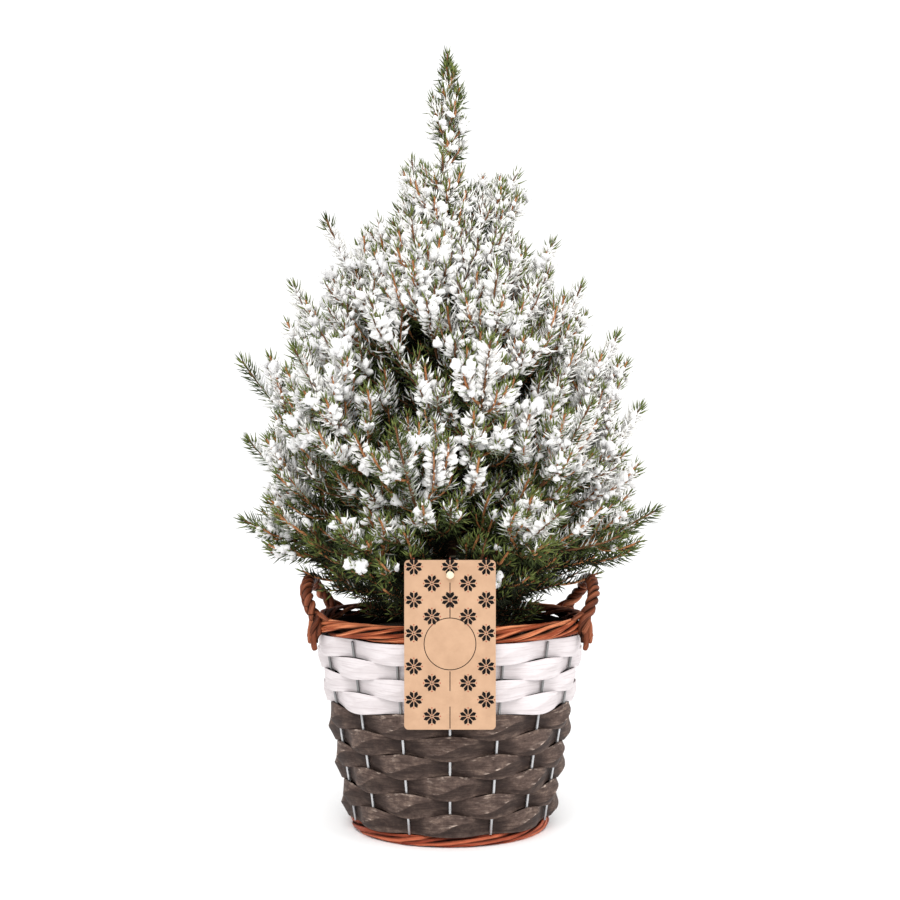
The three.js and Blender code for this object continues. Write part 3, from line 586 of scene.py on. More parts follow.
# Each willow: its colours, the brightest partly painted highlight, then the painted shade of its crevices
# and its lowest roughness.
WILLOW = willow_finish(
    "willow", [(0.38, (0.055, 0.01, 0.004)), (0.5, (0.29, 0.055, 0.018)), (0.6, (0.8, 0.3, 0.14))],
    (0.012, 0.004, 0.002), 0.38)
HANDLE_WILLOW = willow_finish(
    "handle_willow",
    [(0.38, (0.045, 0.012, 0.006)), (0.5, (0.18, 0.05, 0.023)), (0.64, (0.42, 0.155, 0.078))],
    (0.012, 0.005, 0.003), 0.3)
FOOT_WILLOW = willow_finish(
    "foot_willow",
    [(0.38, (0.055, 0.01, 0.005)), (0.5, (0.29, 0.05, 0.023)), (0.62, (0.64, 0.18, 0.088))],
    (0.01, 0.003, 0.002), 0.22)
# The wire's last colour is its painted shade over the white band.
WIRE = plain_finish(
    "wire", [(0.3, (0.4, 0.4, 0.41)), (0.7, (0.58, 0.58, 0.59))], 4, 0.28, 1, 0.02,
    metal=0.85, behind=grey(0.21))
PLASTIC = plain_finish(
    "black_plastic", [(0.3, (0.009, 0.006, 0.005)), (0.7, (0.016, 0.011, 0.009))], 20, 0.8, 1.5, 0.05,
    specular=0.03)
SOIL = plain_finish(
    "soil", [(0.35, (0.012, 0.007, 0.004)), (0.6, (0.05, 0.03, 0.018)), (0.75, (0.1, 0.07, 0.045))],
    2.5, 0.85, 1.6, 1.2)
KRAFT = plain_finish(
    "kraft", [(0.3, (0.43, 0.265, 0.165)), (0.7, (0.5, 0.315, 0.2))], 9, 0.75, 0.35, 0.05)
INK = plain_finish(
    "ink", [(0.3, (0.006, 0.005, 0.005)), (0.7, (0.011, 0.009, 0.009))], 3, 0.7, 0.5, 0.02,
    specular=0.05)
RED_INK = plain_finish("red_ink", [(0.3, (0.3, 0.05, 0.03)), (0.7, (0.38, 0.08, 0.05))], 3, 0.7, 0.5, 0.02)
STRING = plain_finish(
    "string", [(0.3, (0.72, 0.6, 0.42)), (0.7, (0.86, 0.76, 0.58))], 1.4, 0.8, 0.6, 0.25)
BARK = plain_finish(
    "bark", [(0.3, (0.05, 0.026, 0.016)), (0.55, (0.14, 0.075, 0.045)), (0.8, (0.26, 0.15, 0.095))],
    4, 0.8, 1.2, 0.6, upward=0.4)
LIMB = plain_finish(
    "limb", [(0.3, (0.06, 0.026, 0.012)), (0.55, (0.2, 0.09, 0.04)), (0.8, (0.34, 0.17, 0.085))],
    6, 0.7, 1, 0.4)
TWIG = plain_finish(
    "twig", [(0.3, (0.16, 0.055, 0.02)), (0.5, (0.42, 0.17, 0.065)), (0.75, (0.58, 0.3, 0.14))],
    7, 0.6, 1, 0.3)
# Lit and shaded copies of one snow: the clumps' and bits' is darker as they catch more light, the flanks'
# lighter because it lies more in shade, which is painted light.
SNOW = plain_finish("snow", [(0.3, (0.7, 0.69, 0.695)), (0.6, (0.84, 0.835, 0.83))], 3, 0.7, 0.9, 0.5)
SNOW_LIGHTENED_IN_SHADE = plain_finish("snow_lightened_in_shade", [(0.3, (0.82, 0.81, 0.805)), (0.6, (0.93, 0.925, 0.915))], 5, 0.7, 0.9, 0.4)
# Each kind of needle: its radius, where it is widest, or 0 for a spike, its shades and roughness.
NEEDLES = dict(
    tender=(0.7, 0.45, (0.085, 0.115, 0.025), (0.17, 0.2, 0.055), 0.5),
    white=(0.78, 0.6, (0.78, 0.77, 0.73), (0.95, 0.945, 0.92), 0.65),
    frosted=(0.75, 0, (0.15, 0.18, 0.1), (0.3, 0.33, 0.24), 0.55),
    green=(0.62, 0.45, (0.024, 0.037, 0.009), (0.075, 0.1, 0.027), 0.5),
    # The deep kind's near-black colours are painted shade, for needles inside the crown and low down.
    deep=(0.85, 0, (0.006, 0.008, 0.003), (0.02, 0.026, 0.008), 0.5),
)


# Basket.
def wall_radius(z):
    share = (z - WALL_FOOT_Z) / (WALL_TOP_Z - WALL_FOOT_Z)
    return mix(WALL_FOOT_RADIUS, WALL_TOP_RADIUS, share)


def strip(row, low_z, high_z):
    """One woven strip: out over every other stake, wide as a lens there, and in behind the next.

    A crease runs aslant over each lens, from its low corner to its high one. Shade is painted below the
    crease and where the strip goes behind a stake.
    """
    is_white = row >= GREY_ROWS
    softer = WHITE_SOFTER if is_white else 1
    column = np.arange(COLUMNS * STRIP_STEPS)[:, None] / STRIP_STEPS
    angle = column * TAU / COLUMNS
    phase = np.pi * (column / 2 + row)
    swing = np.cos(phase)
    out = np.maximum(swing, 0)
    swell = (WHITE_SWELL if is_white else GREY_SWELL) * out**1.3 - TUCK * np.maximum(-swing, 0)
    place = polar(WALL_MEAN_RADIUS, angle, row * 50.0)
    wander = 0.6 * noise(place, 26, row)
    low = low_z - swell * (FOOT_EDGE_SWELL if row == 0 else 1) + wander
    high = high_z + (TOP_EDGE_RISE if row == GREY_ROWS + WHITE_ROWS - 1 else swell) + wander
    crease = 0.5 + 0.3 * np.sin(phase) + 0.12 * noise(place, 20, row + 30)
    above = 1 - crease
    v = np.concatenate([crease * np.array([0, 0.05, 0.5]), crease + np.array([-0.05, 0, 0.05]),
                        1 - above * np.array([0.5, 0.05, 0])], axis=1)
    z = mix(low, high, v)
    ridge = 1 - np.where(v < crease, 1 - v / crease, (v - crease) / above)
    bow = (3.1 * ridge - 1.7) * (0.25 + out) * softer
    along = angle * WALL_MEAN_RADIUS
    sag = 0.35 * noise(points_at(along, z, row * 40.0), 12, 3)
    peak = np.sign(swing) * np.abs(swing) ** 0.85
    radius = wall_radius(z) + WEAVE_SWING * peak + bow + sag
    inner = polar(radius - STRIP_THICKNESS, angle, z)
    ring = np.concatenate([polar(radius, angle, z), inner[:, ::-1]], axis=1)
    worn = np.zeros_like(z)
    worn[:, [0, 1, -2, -1]] = EDGE_WEAR
    worn[:, FOLD] = 1.1 * softer * out[:, 0] ** 1.5
    worn[:, FOLD + 1] = 0.3 * softer * out[:, 0] ** 2
    # Painted shade where the strip goes in behind a stake.
    behind = softer * (1 - smoothstep(-0.8, 0.45, swing))
    # Painted shade below the crease and towards the lens's edges, as if its lower facet were turned from
    # the light.
    lower_facet_shade = softer * (np.where(v < crease, 0.75, 0) + 0.15 * (1 - ridge))
    # Real wear on the edges and the fold is positive, painted shade negative.
    wear = worn - np.maximum(behind, lower_facet_shade)
    flow = points_at(along, v * (high_z - low_z) + row * 37.0, 0)
    faces = grid_faces(len(column), ring.shape[1], up=True)[:, ::-1]
    return (ring, faces, np.concatenate([flow, flow[:, ::-1]], axis=1),
            np.concatenate([wear, wear[:, ::-1]], axis=1))


def band(first_row, rows, low_z, high_z):
    edges = np.linspace(low_z, high_z, rows + 1)
    return [strip(first_row + i, edges[i], edges[i + 1]) for i in range(rows)]


def rod_ring(rods, rod_radius, turns, radius, middle_z, width, height, seed, floor_z=-np.inf):
    """Rods that twist round each other in a closed ring."""
    made = []
    angle = round_angles(RING_STEPS)
    for k in range(rods):
        circle = polar(60, angle, 40.0 * k)
        phase = turns * angle + k * TAU / rods + 1.1 * noise(circle, 33, seed + k)
        thick = rod_radius * (0.84 + 0.32 * scatter(k, seed) + 0.18 * noise(circle, 25, seed + 20 + k))
        x = np.cos(phase) * (width / 2 - thick)
        y = np.sin(phase) * (height / 2 - thick)
        path = polar(radius + x, angle, middle_z + y)
        path[:, 2] = np.maximum(path[:, 2], floor_z + thick)
        relief = [(0.22, 7, seed + k, 1), (0.1, 2.5, seed + k, 1)]
        points, faces, flow = tube(path, thick, 7, relief, closed=True)
        points[:, 2] = np.maximum(points[:, 2], floor_z)
        flow[:, 2] = 7.3 * k + seed
        # Painted shade in the crevices, where a rod's surface lies deep in the bundle, and on the ring's
        # inner side.
        out = from_axis(points) - radius
        depth = np.hypot(out / (width / 2), (points[:, 2] - middle_z) / (height / 2))
        inside = 0.65 * smoothstep(1, -4, out)
        made.append((points, faces, flow, -np.maximum(smoothstep(0.96, 0.76, depth), inside)))
    return made


def rim():
    return rod_ring(RIM_RODS, RIM_ROD_RADIUS, RIM_TURNS, RIM_RADIUS, RIM_LOW_Z + RIM_HEIGHT / 2,
                    RIM_WIDTH, RIM_HEIGHT, 1)


def foot():
    return rod_ring(FOOT_RODS, FOOT_ROD_RADIUS, FOOT_TURNS, FOOT_RADIUS - FOOT_WIDTH / 2, FOOT_MIDDLE_Z,
                    FOOT_WIDTH, FOOT_HEIGHT, 50, floor_z=0)


def foot_board():
    top = BOARD_THICKNESS
    return spun([(AXIS_RADIUS, BOARD_LOW_Z), (BOARD_RADIUS, BOARD_LOW_Z), (BOARD_RADIUS, top),
                 (AXIS_RADIUS, top)])


def handle_point(side, share):
    angle = np.pi * (1 - share)
    along = np.sign(np.cos(angle)) * np.abs(np.cos(angle)) ** 0.75
    lift = np.maximum(np.sin(angle), 0) ** 0.6
    y = HANDLE_BACK_SHIFT + HANDLE_SPAN * along
    z = mix(HANDLE_FOOT_Z, HANDLE_TOP_Z, lift)
    foot_x = np.sqrt((RIM_RADIUS + RIM_WIDTH / 2 + HANDLE_SEAT) ** 2 - y**2)
    over_rim = np.clip((z - RIM_LOW_Z - RIM_HEIGHT) / (2 * HANDLE_THICKNESS), 0, 1)
    return points_at(side * mix(foot_x, np.maximum(HANDLE_REACH, foot_x), over_rim), y, z)


def handle_rods(side):
    """Rods in a twist from foot to foot."""
    made = []
    share = np.linspace(0, 1, HANDLE_STEPS)
    middle = handle_point(side, share)
    along = unit(np.gradient(middle, axis=0))
    across = unit(np.array([side, 0.0, 0.0]) - along * (along[:, :1] * side))
    over = np.cross(along, across)
    for k in range(HANDLE_RODS):
        circle = middle + 300.0 * k
        phase = share * HANDLE_TURN + k * TAU / HANDLE_RODS + 0.4 * noise(circle, 22, k)
        thick = HANDLE_ROD_RADIUS * (1 + 0.14 * noise(circle, 16, k + 5))
        near_end = np.minimum(share, 1 - share) - 0.006 * k
        thick = thick * mix(0.35, 1, np.sqrt(smoothstep(0, 0.012, near_end)))
        path = middle + (HANDLE_THICKNESS / 2 - HANDLE_ROD_RADIUS) * turned(across, over, phase)
        relief = [(0.3, 6, k, 1), (0.12, 2.2, k, 1)]
        points, faces, flow = tube(path, thick, ROD_SIDES, relief)
        flow[:, 2] = 7.3 * k + 3
        centre = np.concatenate([np.repeat(middle, ROD_SIDES, axis=0), middle[[0, -1]]])
        depth = np.linalg.norm(points - centre, axis=1) / (HANDLE_THICKNESS / 2)
        # Painted shade in the crevices, where a rod's surface lies deep in the twist.
        made.append((points, faces, flow, -smoothstep(0.96, 0.64, depth)))
    return made


def handle_tails(side):
    """The rods' loose ends at both feet."""
    made = []
    t = np.linspace(0, 1, TAIL_STEPS)[:, None]
    for end in (0, 1):
        inward = 1 - 2 * end
        for up, reach, aside, drop, thick in HANDLE_TAILS:
            start = handle_point(side, end + inward * up)
            out = outward(start)
            beside = np.cross(out, UP) * side * inward
            path = (start + out * (reach * t + 1.2 * np.sin(3 * t)) + beside * (aside * t**1.3)
                    - UP * (drop * t) + UP * (1.5 * np.sin(5 * t + up * 60)))
            thin = thick * np.where(t[:, 0] > 0.97, 0.6, 1 - 0.25 * t[:, 0])
            relief = [(0.35, 4, up * 90, 1), (0.12, 2, 3, 1)]
            points, faces, flow = tube(path, thin, ROD_SIDES, relief)
            flow[:, 2] = 80 * up + 31 * end
            made.append((points, faces, flow))
    return made


def stakes():
    made = []
    z = np.linspace(WALL_FOOT_Z + 0.5, WALL_TOP_Z, 12)
    for angle in round_angles(STAKES):
        wander = 0.25 * noise(polar(80, angle, z), 18, 4)
        path = polar(wall_radius(z) - WIRE_INSET + wander, angle, z)
        points, faces, flow = tube(path, WIRE_RADIUS, 10)
        # Painted shade on the wires over the white band, above the split.
        made.append((points, faces, flow, -smoothstep(BAND_SPLIT_Z, BAND_SPLIT_Z + 2, points[:, 2])))
    return made


def liner_radius(z):
    return mix(LINER_LOW_RADIUS, LINER_TOP_RADIUS, (z - LINER_LOW_Z) / (LINER_TOP_Z - LINER_LOW_Z))


def liner():
    floor = LINER_LOW_Z + LINER_THICKNESS
    top_inside = LINER_TOP_RADIUS - LINER_THICKNESS
    return spun([
        (AXIS_RADIUS, LINER_LOW_Z), (LINER_LOW_RADIUS - LINER_BEND, LINER_LOW_Z),
        (LINER_LOW_RADIUS, LINER_LOW_Z + LINER_BEND),
        (LINER_TOP_RADIUS, LINER_TOP_Z - 1), (LINER_TOP_RADIUS - 0.3, LINER_TOP_Z - 0.2),
        (top_inside + 0.3, LINER_TOP_Z - 0.2), (top_inside, LINER_TOP_Z - 1),
        (liner_radius(floor) - LINER_THICKNESS, floor), (AXIS_RADIUS, floor),
    ])


def soil():
    """The soil, as a mound with crumbs that are calm at the liner and round the trunk."""
    low = LINER_LOW_Z + LINER_THICKNESS + SOIL_GAP
    inside = liner_radius(SOIL_EDGE_Z) - LINER_THICKNESS - SOIL_GAP
    low_radius = liner_radius(low) - LINER_THICKNESS - SOIL_GAP
    rows = np.linspace(inside, AXIS_RADIUS, SOIL_ROWS)
    top_z = mix(SOIL_EDGE_Z, SOIL_EDGE_Z + SOIL_MOUND, smoothstep(inside, 18, rows))
    points, faces = spun([(AXIS_RADIUS, low), (low_radius, low), *zip(rows, top_z)], SOIL_SIDES)
    top = points[:, 2] > SOIL_EDGE_Z - 1
    radius = from_axis(points)
    crumbs = 1.0 * noise(points, 6, 1) + 0.7 * noise(points, 2.4, 2) - 0.6
    calm = smoothstep(inside, inside - 3, radius) * smoothstep(10, 16, radius)
    points[top, 2] += (crumbs * calm)[top]
    return points, faces


# Tag.
def flat_shape(outline, depth=STAR_DEPTH):
    """An outline of (x, z) points as a thin plate in front of the tag."""
    outline = np.asarray(outline, float)
    count = len(outline)
    front = points_at(outline[:, 0], TAG_FRONT_Y - depth, outline[:, 1])
    ring = np.arange(count)
    after = (ring + 1) % count
    wall = np.stack([after, ring, ring + count, after + count], axis=1)
    points = np.concatenate([front, front + (0, depth, 0), front.mean(axis=0)[None]])
    return points, np.concatenate([fan(ring, after, 2 * count), wall])


def disc(x, z, radius, sides):
    angle = round_angles(sides)
    return flat_shape(np.stack([x - radius * np.cos(angle), z + radius * np.sin(angle)], axis=1))


def star_petals(x, z):
    """Eight leaf-shaped petals round a small middle."""
    made = []
    for angle in (np.arange(8) + 0.5) * TAU / 8:
        c, s = np.cos(angle), np.sin(angle)
        outline = np.array(STAR_PETAL) @ np.array([[c, s], [-s, c]]) + (x, z)
        made.append(flat_shape(outline[::-1]))
    return made + [disc(x, z, 0.55, 8)]


def star_dots(x, z):
    """Four small dots near the star's middle and four larger ones at its ends."""
    return [
        disc(x + reach * np.cos(angle), z + reach * np.sin(angle), size, 6)
        for reach, size in ((1.3, 0.32), (5.9, 0.5)) for angle in round_angles(4)
    ]


def badge_ring():
    ring = round_angles(BADGE_SIDES)
    inner, outer = BADGE_RADIUS - BADGE_HALF_WIDTH, BADGE_RADIUS + BADGE_HALF_WIDTH
    rows = [
        points_at(radius * np.cos(ring), TAG_FRONT_Y - out, BADGE_Z + radius * np.sin(ring))
        for radius, out in ((inner, 0), (inner, LINE_DEPTH), (outer, LINE_DEPTH), (outer, 0))
    ]
    return np.array(rows), grid_faces(len(rows), BADGE_SIDES, up=True)


def tag_print():
    """Staggered rows of common eight-petal knitting stars, a middle line and a bare badge ring."""
    black, red = [], []
    for row in range(STAR_ROWS):
        z = TAG_TOP_Z - STAR_MARGIN - row * STAR_ROW_STEP
        for place in (-2, 0, 2) if row % 2 == 0 else (-1, 1):
            x = place * STAR_COLUMN_STEP
            in_badge = np.hypot(x, z - BADGE_Z) < BADGE_RADIUS - 2
            if in_badge or (place == 0 and row >= FULL_STAR_ROWS):
                continue
            black += star_petals(x, z)
            red += star_dots(x, z)
    half = LINE_HALF_WIDTH
    for top, bottom in LINE_ENDS:
        low, high = TAG_TOP_Z - bottom, TAG_TOP_Z - top
        black.append(flat_shape([(-half, low), (-half, high), (half, high), (half, low)], LINE_DEPTH))
    return black + [badge_ring()], red


def string_tie():
    """The knot in front of the tag's hole, the strand back to the trunk and the loop round it."""
    points, faces = ball(3)
    knot = points * STRING_KNOT_FORM * STRING_KNOT_RADIUS * (1 + 0.07 * noise(points, 0.5, 3))[:, None]
    hole = np.array([0, TAG_FRONT_Y - STRING_GAP - STRING_KNOT_RADIUS * STRING_KNOT_FORM[1], TAG_HOLE_Z])
    trunk = trunk_middle(STRING_TRUNK_Z)
    loop_radius = trunk_radius(STRING_TRUNK_Z) + STRING_GAP + 2 * STRING_RADIUS
    loop = trunk + polar(loop_radius, round_angles(40), 0)
    control = np.array([0, mix(hole[1], -loop_radius, 0.5), TAG_HOLE_Z + 1])
    t = np.linspace(0, 1, 30)[:, None]
    strand = (1 - t) ** 2 * hole + 2 * t * (1 - t) * control + t**2 * (trunk - (0, loop_radius, 0))
    return [(knot + hole, faces), tube(strand, STRING_RADIUS, STRING_SIDES),
            tube(loop, STRING_RADIUS, STRING_SIDES, closed=True)]


# Limbs.
def trunk_middle(z):
    z = np.asarray(z, float)
    share = (z - TRUNK_CUT_Z) / (TREE_TOP_Z - TRUNK_CUT_Z)
    sway = TRUNK_SWAY * np.sin(share * 9)
    return points_at(TRUNK_LEAN * share + sway * share, sway * 0.6, z)


def trunk_radius(z):
    share = np.clip((z - TRUNK_CUT_Z) / (TRUNK_TIP_Z - TRUNK_CUT_Z), 0, 1)
    flare = ROOT_FLARE * np.exp(-(z - TRUNK_CUT_Z) / (ROOT_FLARE_HEIGHT / 2))
    return mix(TRUNK_RADIUS, TRUNK_TIP_RADIUS, share**0.85) + flare


class Limb:
    """A curve from the middle of the trunk to a tip, as a + b t + c t^2."""

    def __init__(self, name, key, whorl, base, control, tip):
        self.name, self.key, self.whorl = name, key, whorl
        self.a, self.b, self.c = base, 2 * (control - base), base - 2 * control + tip

    def point(self, t):
        t = np.asarray(t, float)[..., None]
        return self.a + self.b * t + self.c * t * t


def whorl_limb(tier, whorl, i):
    """A limb of a whorl, turned and stretched as its whorl says."""
    even = i * 360 / whorl["count"]
    facing = np.sin(np.radians(even)) ** 2
    azimuth = np.radians(even + whorl["stagger"] * facing)
    side = np.cos(azimuth)
    key = tier * 10 + i
    stray = (2 * scatter(key, 1) - 1) * TIP_SCATTER * facing
    reach = (whorl["reach"] + whorl["right_reach"] * side) * mix(1, FRONT_SHORTER, facing)
    base = trunk_middle(whorl["root_z"] + (i % 2) * ROOT_STEP)
    tip = polar(reach, azimuth, whorl["tip_z"] + whorl["right_lift"] * side + stray)
    control = mix(base, tip, np.array([whorl["steep"], whorl["steep"], 1 - whorl["steep"]]))
    return Limb(f"{whorl['name']}_{i + 1}", key, whorl, base, control, tip)


LIMBS = [
    whorl_limb(tier, whorl, i) for tier, whorl in enumerate(WHORLS) for i in range(whorl["count"])
]
LIMBS.append(Limb(
    "leader", 99, {}, trunk_middle(TRUNK_TIP_Z + 0.3),
    trunk_middle(mix(TRUNK_TIP_Z, TREE_TOP_Z, 0.5)), trunk_middle(TREE_TOP_Z - 4)))
BOUGHS = [limb for limb in LIMBS if "bough" in limb.whorl]
FOLIAGE_NODES = [f"foliage_{limb.name}" for limb in LIMBS]
LINES = np.stack([limb.point(np.linspace(0, 1, 15)) for limb in LIMBS])
STRING_LINE = np.stack([[0, TAG_FRONT_Y - STRING_OUT, TAG_HOLE_Z], trunk_middle(STRING_TRUNK_Z)])
HANDLE_LINES = np.stack([handle_point(side, np.arange(15) / 14) for side in (-1, 1)])
CROWN_Z = np.array(
    [RIM_LOW_Z + RIM_HEIGHT, OVER_HANDLES_Z, *[w["tip_z"] for w in reversed(WHORLS)], TREE_TOP_Z])
CROWN_REACH = np.array(
    [CROWN_FOOT_REACH, OVER_HANDLES_REACH,
     *[w["reach"] + abs(w["right_reach"]) for w in reversed(WHORLS)], CROWN_TOP_REACH])


def distance_to_lines(points, lines):
    """The distance from each point to each line, as an array of points by lines."""
    start, run = lines[:, :-1], np.diff(lines, axis=1)
    square = np.maximum((run**2).sum(-1), 1e-9)
    found = np.empty((len(points), len(lines)))
    for low in range(0, len(points), 4000):
        away = points[low:low + 4000, None, None] - start[None]
        share = np.clip((away * run).sum(-1) / square, 0, 1)
        found[low:low + 4000] = np.linalg.norm(away - share[..., None] * run, axis=-1).min(-1)
    return found


def crown_reach(p):
    """How far the crown may reach at a place's height, a little less to the front and back."""
    facing = (p[..., 1] / np.maximum(from_axis(p), 1e-6)) ** 2
    return np.interp(p[..., 2], CROWN_Z, CROWN_REACH) * mix(1, FRONT_SHORTER, facing)


def crown_room(p):
    """How far side shoots stay inside the crown's reach: it leaves gaps between the tips."""
    gaps = smoothstep(-0.2, 0.35, noise(p, 30, 21))
    wide = smoothstep(20, 130, crown_reach(p))
    room = np.interp(p[:, 2], ROOM_Z, ROOM) + np.interp(p[:, 2], ROOM_Z, GAP_DEPTH) * gaps
    return mix(room * wide, ROOM_AT_TOP, smoothstep(505, 540, p[:, 2]))


def exposure(p):
    """How near a place is to the outside of the crown, from 0 to about 1."""
    reach = from_axis(p) / np.maximum(crown_reach(p), 8)
    return np.maximum(reach, smoothstep(TRUNK_TIP_Z - 10, TRUNK_TIP_Z + 40, p[:, 2]))


def is_free(p, beyond=3):
    """True where foliage may be: clear of the string, the handles, the tag, the rim and the soil."""
    x, y, z = p.T
    radius = from_axis(p)
    over_rim = radius > LINER_TOP_RADIUS - HANDLE_THICKNESS / 2
    lowest = np.where(over_rim, RIM_LOW_Z + RIM_HEIGHT + ROOM_OVER_RIM,
                      SOIL_EDGE_Z + SOIL_MOUND + ROOM_OVER_SOIL)
    free = (z >= lowest) & (radius <= crown_reach(p) + beyond)
    in_trunk = np.linalg.norm(trunk_middle(z) - p, axis=1) < trunk_radius(z) + 1
    free &= ~((z < TRUNK_TIP_Z) & in_trunk)
    free &= distance_to_lines(p, STRING_LINE[None])[:, 0] >= STRING_RADIUS + ROOM_ROUND_STRING
    near_tag = y < TAG_FRONT_Y + TAG_THICKNESS + ROOM_ROUND_TAG
    near_tag &= (z < TAG_TOP_Z + ROOM_ROUND_TAG) & (np.abs(x) <= TAG_WIDTH / 2 + ROOM_ROUND_TAG)
    free &= ~near_tag
    in_grip = (np.abs(y - HANDLE_BACK_SHIFT) < HANDLE_SPAN) & (z < HANDLE_TOP_Z)
    free &= ~(in_grip & (np.abs(x) > GRIP_X))
    return free & (distance_to_lines(p, HANDLE_LINES) > HANDLE_THICKNESS / 2 + 1).all(axis=1)


def belongs(p, limb_of, spare):
    """True where a free point is nearer to its own limb than to every other."""
    away = distance_to_lines(p, LINES)
    rows = np.arange(len(p))
    own = away[rows, limb_of]
    away[rows, limb_of] = np.inf
    return is_free(p, -crown_room(p)) & (away.min(axis=1) > own + spare)


# Growth.
class Shoots:
    """Many shoots side by side. Each runs along a + b t + c t^2 for t from 0 to 1."""

    def __init__(self, a, b, c, limb, key, thick, thin):
        self.a, self.b, self.c, self.limb, self.key = a, b, c, limb, key
        self.thick, self.thin = np.broadcast_to(thick, len(a)), np.broadcast_to(thin, len(a))
        steps = self.points(np.linspace(0, 1, 9))
        self.length = np.linalg.norm(np.diff(steps, axis=1), axis=-1).sum(axis=1)

    def points(self, t):
        t = t[None, :, None]
        return self.a[:, None] + self.b[:, None] * t + self.c[:, None] * t * t

    def at(self, index, t):
        """Places on these shoots, the ways along them, level across and over them."""
        t = t[:, None]
        a, b, c = self.a[index], self.b[index], self.c[index]
        along = unit(b + 2 * c * t)
        return a + b * t + c * t * t, along, *frames(along)


def axes():
    """Every limb from a little way out of the trunk to its tip."""
    starts = [0.06 if limb.whorl else 0 for limb in LIMBS]
    pairs = list(zip(LIMBS, starts))
    return Shoots(
        np.array([limb.point(s) for limb, s in pairs]),
        np.array([(limb.b + 2 * limb.c * s) * (1 - s) for limb, s in pairs]),
        np.array([limb.c * (1 - s) ** 2 for limb, s in pairs]),
        np.arange(len(LIMBS)), np.array([limb.key for limb in LIMBS], float),
        [1.9 if limb.whorl else 1.5 for limb in LIMBS], 0.7)


def turn_of(p):
    """The way shoots turn as they grow: up near the trunk, more and more outward low down."""
    radius = from_axis(p)[:, None]
    share = np.clip(radius / np.maximum(crown_reach(p), 8)[:, None], 0, 1)
    flare = np.interp(p[:, 2], FLARE_Z, FLARE)[:, None] * share
    return unit(UP + p * (1, 1, 0) / np.maximum(radius, 1) * flare)


def longest_fit(foot, lean, turn, most, least, parts, elbow, fits):
    """The longest part of its most that each shoot may have, over its least, or else 0."""
    length = np.zeros(len(foot))
    for part in parts:
        rows = np.flatnonzero((length == 0) & (most * part > least))
        reach = (most * part + TIP_ROOM)[:, None]
        tip = foot + lean * (reach * elbow) + turn * (reach * (1 - elbow))
        rows = rows[fits(tip[rows], rows)]
        length[rows] = (most * part)[rows]
    return length


def bent_shoots(kept, foot, lean, turn, length, limb, key, thick, thin, elbow):
    """Shoots that set out along one way and end along another, as far as they are kept."""
    first = lean * (length * elbow)[:, None]
    last = turn * (length * (1 - elbow))[:, None]
    return Shoots(foot[kept], 2 * first[kept], (last - first)[kept], limb[kept], key[kept], thick, thin)


def trunk_shoots():
    """Short shoots that fill the crown round the trunk, between the whorls."""
    i = np.arange(TRUNK_SHOOTS)
    share = i / (TRUNK_SHOOTS - 1)
    z = mix(TRUNK_SHOOTS_LOW_Z, TRUNK_SHOOTS_HIGH_Z, share**0.95)
    rise = np.radians(mix(*TRUNK_SHOOT_RISE, share))
    lean = polar(np.cos(rise), i * GOLDEN_ANGLE, np.sin(rise))
    foot = trunk_middle(z)
    most = np.clip(0.8 * np.interp(z, CROWN_Z, CROWN_REACH), 20, TRUNK_SHOOT_LENGTH)
    most = most * (0.72 + 0.42 * scatter(i, 4))
    turn = turn_of(foot + lean * most[:, None])
    length = longest_fit(
        foot, lean, turn, most, 0, np.linspace(1, 0.3, 8), TRUNK_SHOOT_ELBOW,
        lambda tip, rows: is_free(tip, -mix(*TRUNK_SHOOT_ROOM, smoothstep(380, 440, tip[:, 2]))))
    limb = distance_to_lines(foot + lean * length[:, None], LINES).argmin(axis=1)
    return bent_shoots(length > 0, foot, lean, turn, length, limb, 200.0 + i, 1.2, 0.75,
                       TRUNK_SHOOT_ELBOW)


def branch(parents, count, first, last, longest, taper, spread, stray, thick, spare, salt):
    """Side shoots from each parent, as long as the limb's own space allows.

    They stand from the first to the last share of its length, and lose a taper of their own to
    its tip. The spread is their angle to it, the stray how much they keep of the way they set out,
    and the spare how much nearer than to other limbs they stay to their own.
    """
    index, i = numbered(np.full(len(parents.a), count))
    step = mix(first, np.broadcast_to(last, len(parents.a))[index], i / (count - 1))
    key = parents.key[index]
    limb = parents.limb[index]
    foot, along, across, over = parents.at(index, step)
    around = turned(across, over, i * GOLDEN_ANGLE + TAU * scatter(key, salt))
    lean = turned(along, around, np.radians(spread * (0.85 + 0.3 * scatter(key, i + salt + 9))))
    longest = longest[index]
    most = longest * (1 - taper * step) * (0.6 + 0.7 * scatter(key, i + salt - 5))
    most = np.minimum(most, 0.94 * parents.length[index] * (1 - step))
    turn = unit(turn_of(foot + along * most[:, None] * 0.8) + around * stray)
    length = longest_fit(
        foot, lean, turn, most, 0.2 * longest, np.linspace(1, 0.2, 17), SHOOT_ELBOW,
        lambda tip, rows: belongs(tip, limb[rows], spare))
    return bent_shoots(length > 0, foot, lean, turn, length, limb, key + i * 3 + 0.37,
                       thick, 0.6 * thick, SHOOT_ELBOW)


def shoot_tubes(shoots, steps, sides):
    t = np.linspace(0, 1, steps)
    path = shoots.points(t)
    across, over = frames(unit(np.gradient(path, axis=1)))
    out = turned(across[:, :, None], -over[:, :, None], round_angles(sides))
    radius = mix(shoots.thick[:, None], shoots.thin[:, None], t[None])
    radius = radius * (1 + 0.15 * noise(path, 5, 2))
    points = path[:, :, None] + out * radius[:, :, None, None]
    return points, copies(grid_faces(steps, sides), len(shoots.a), steps * sides)


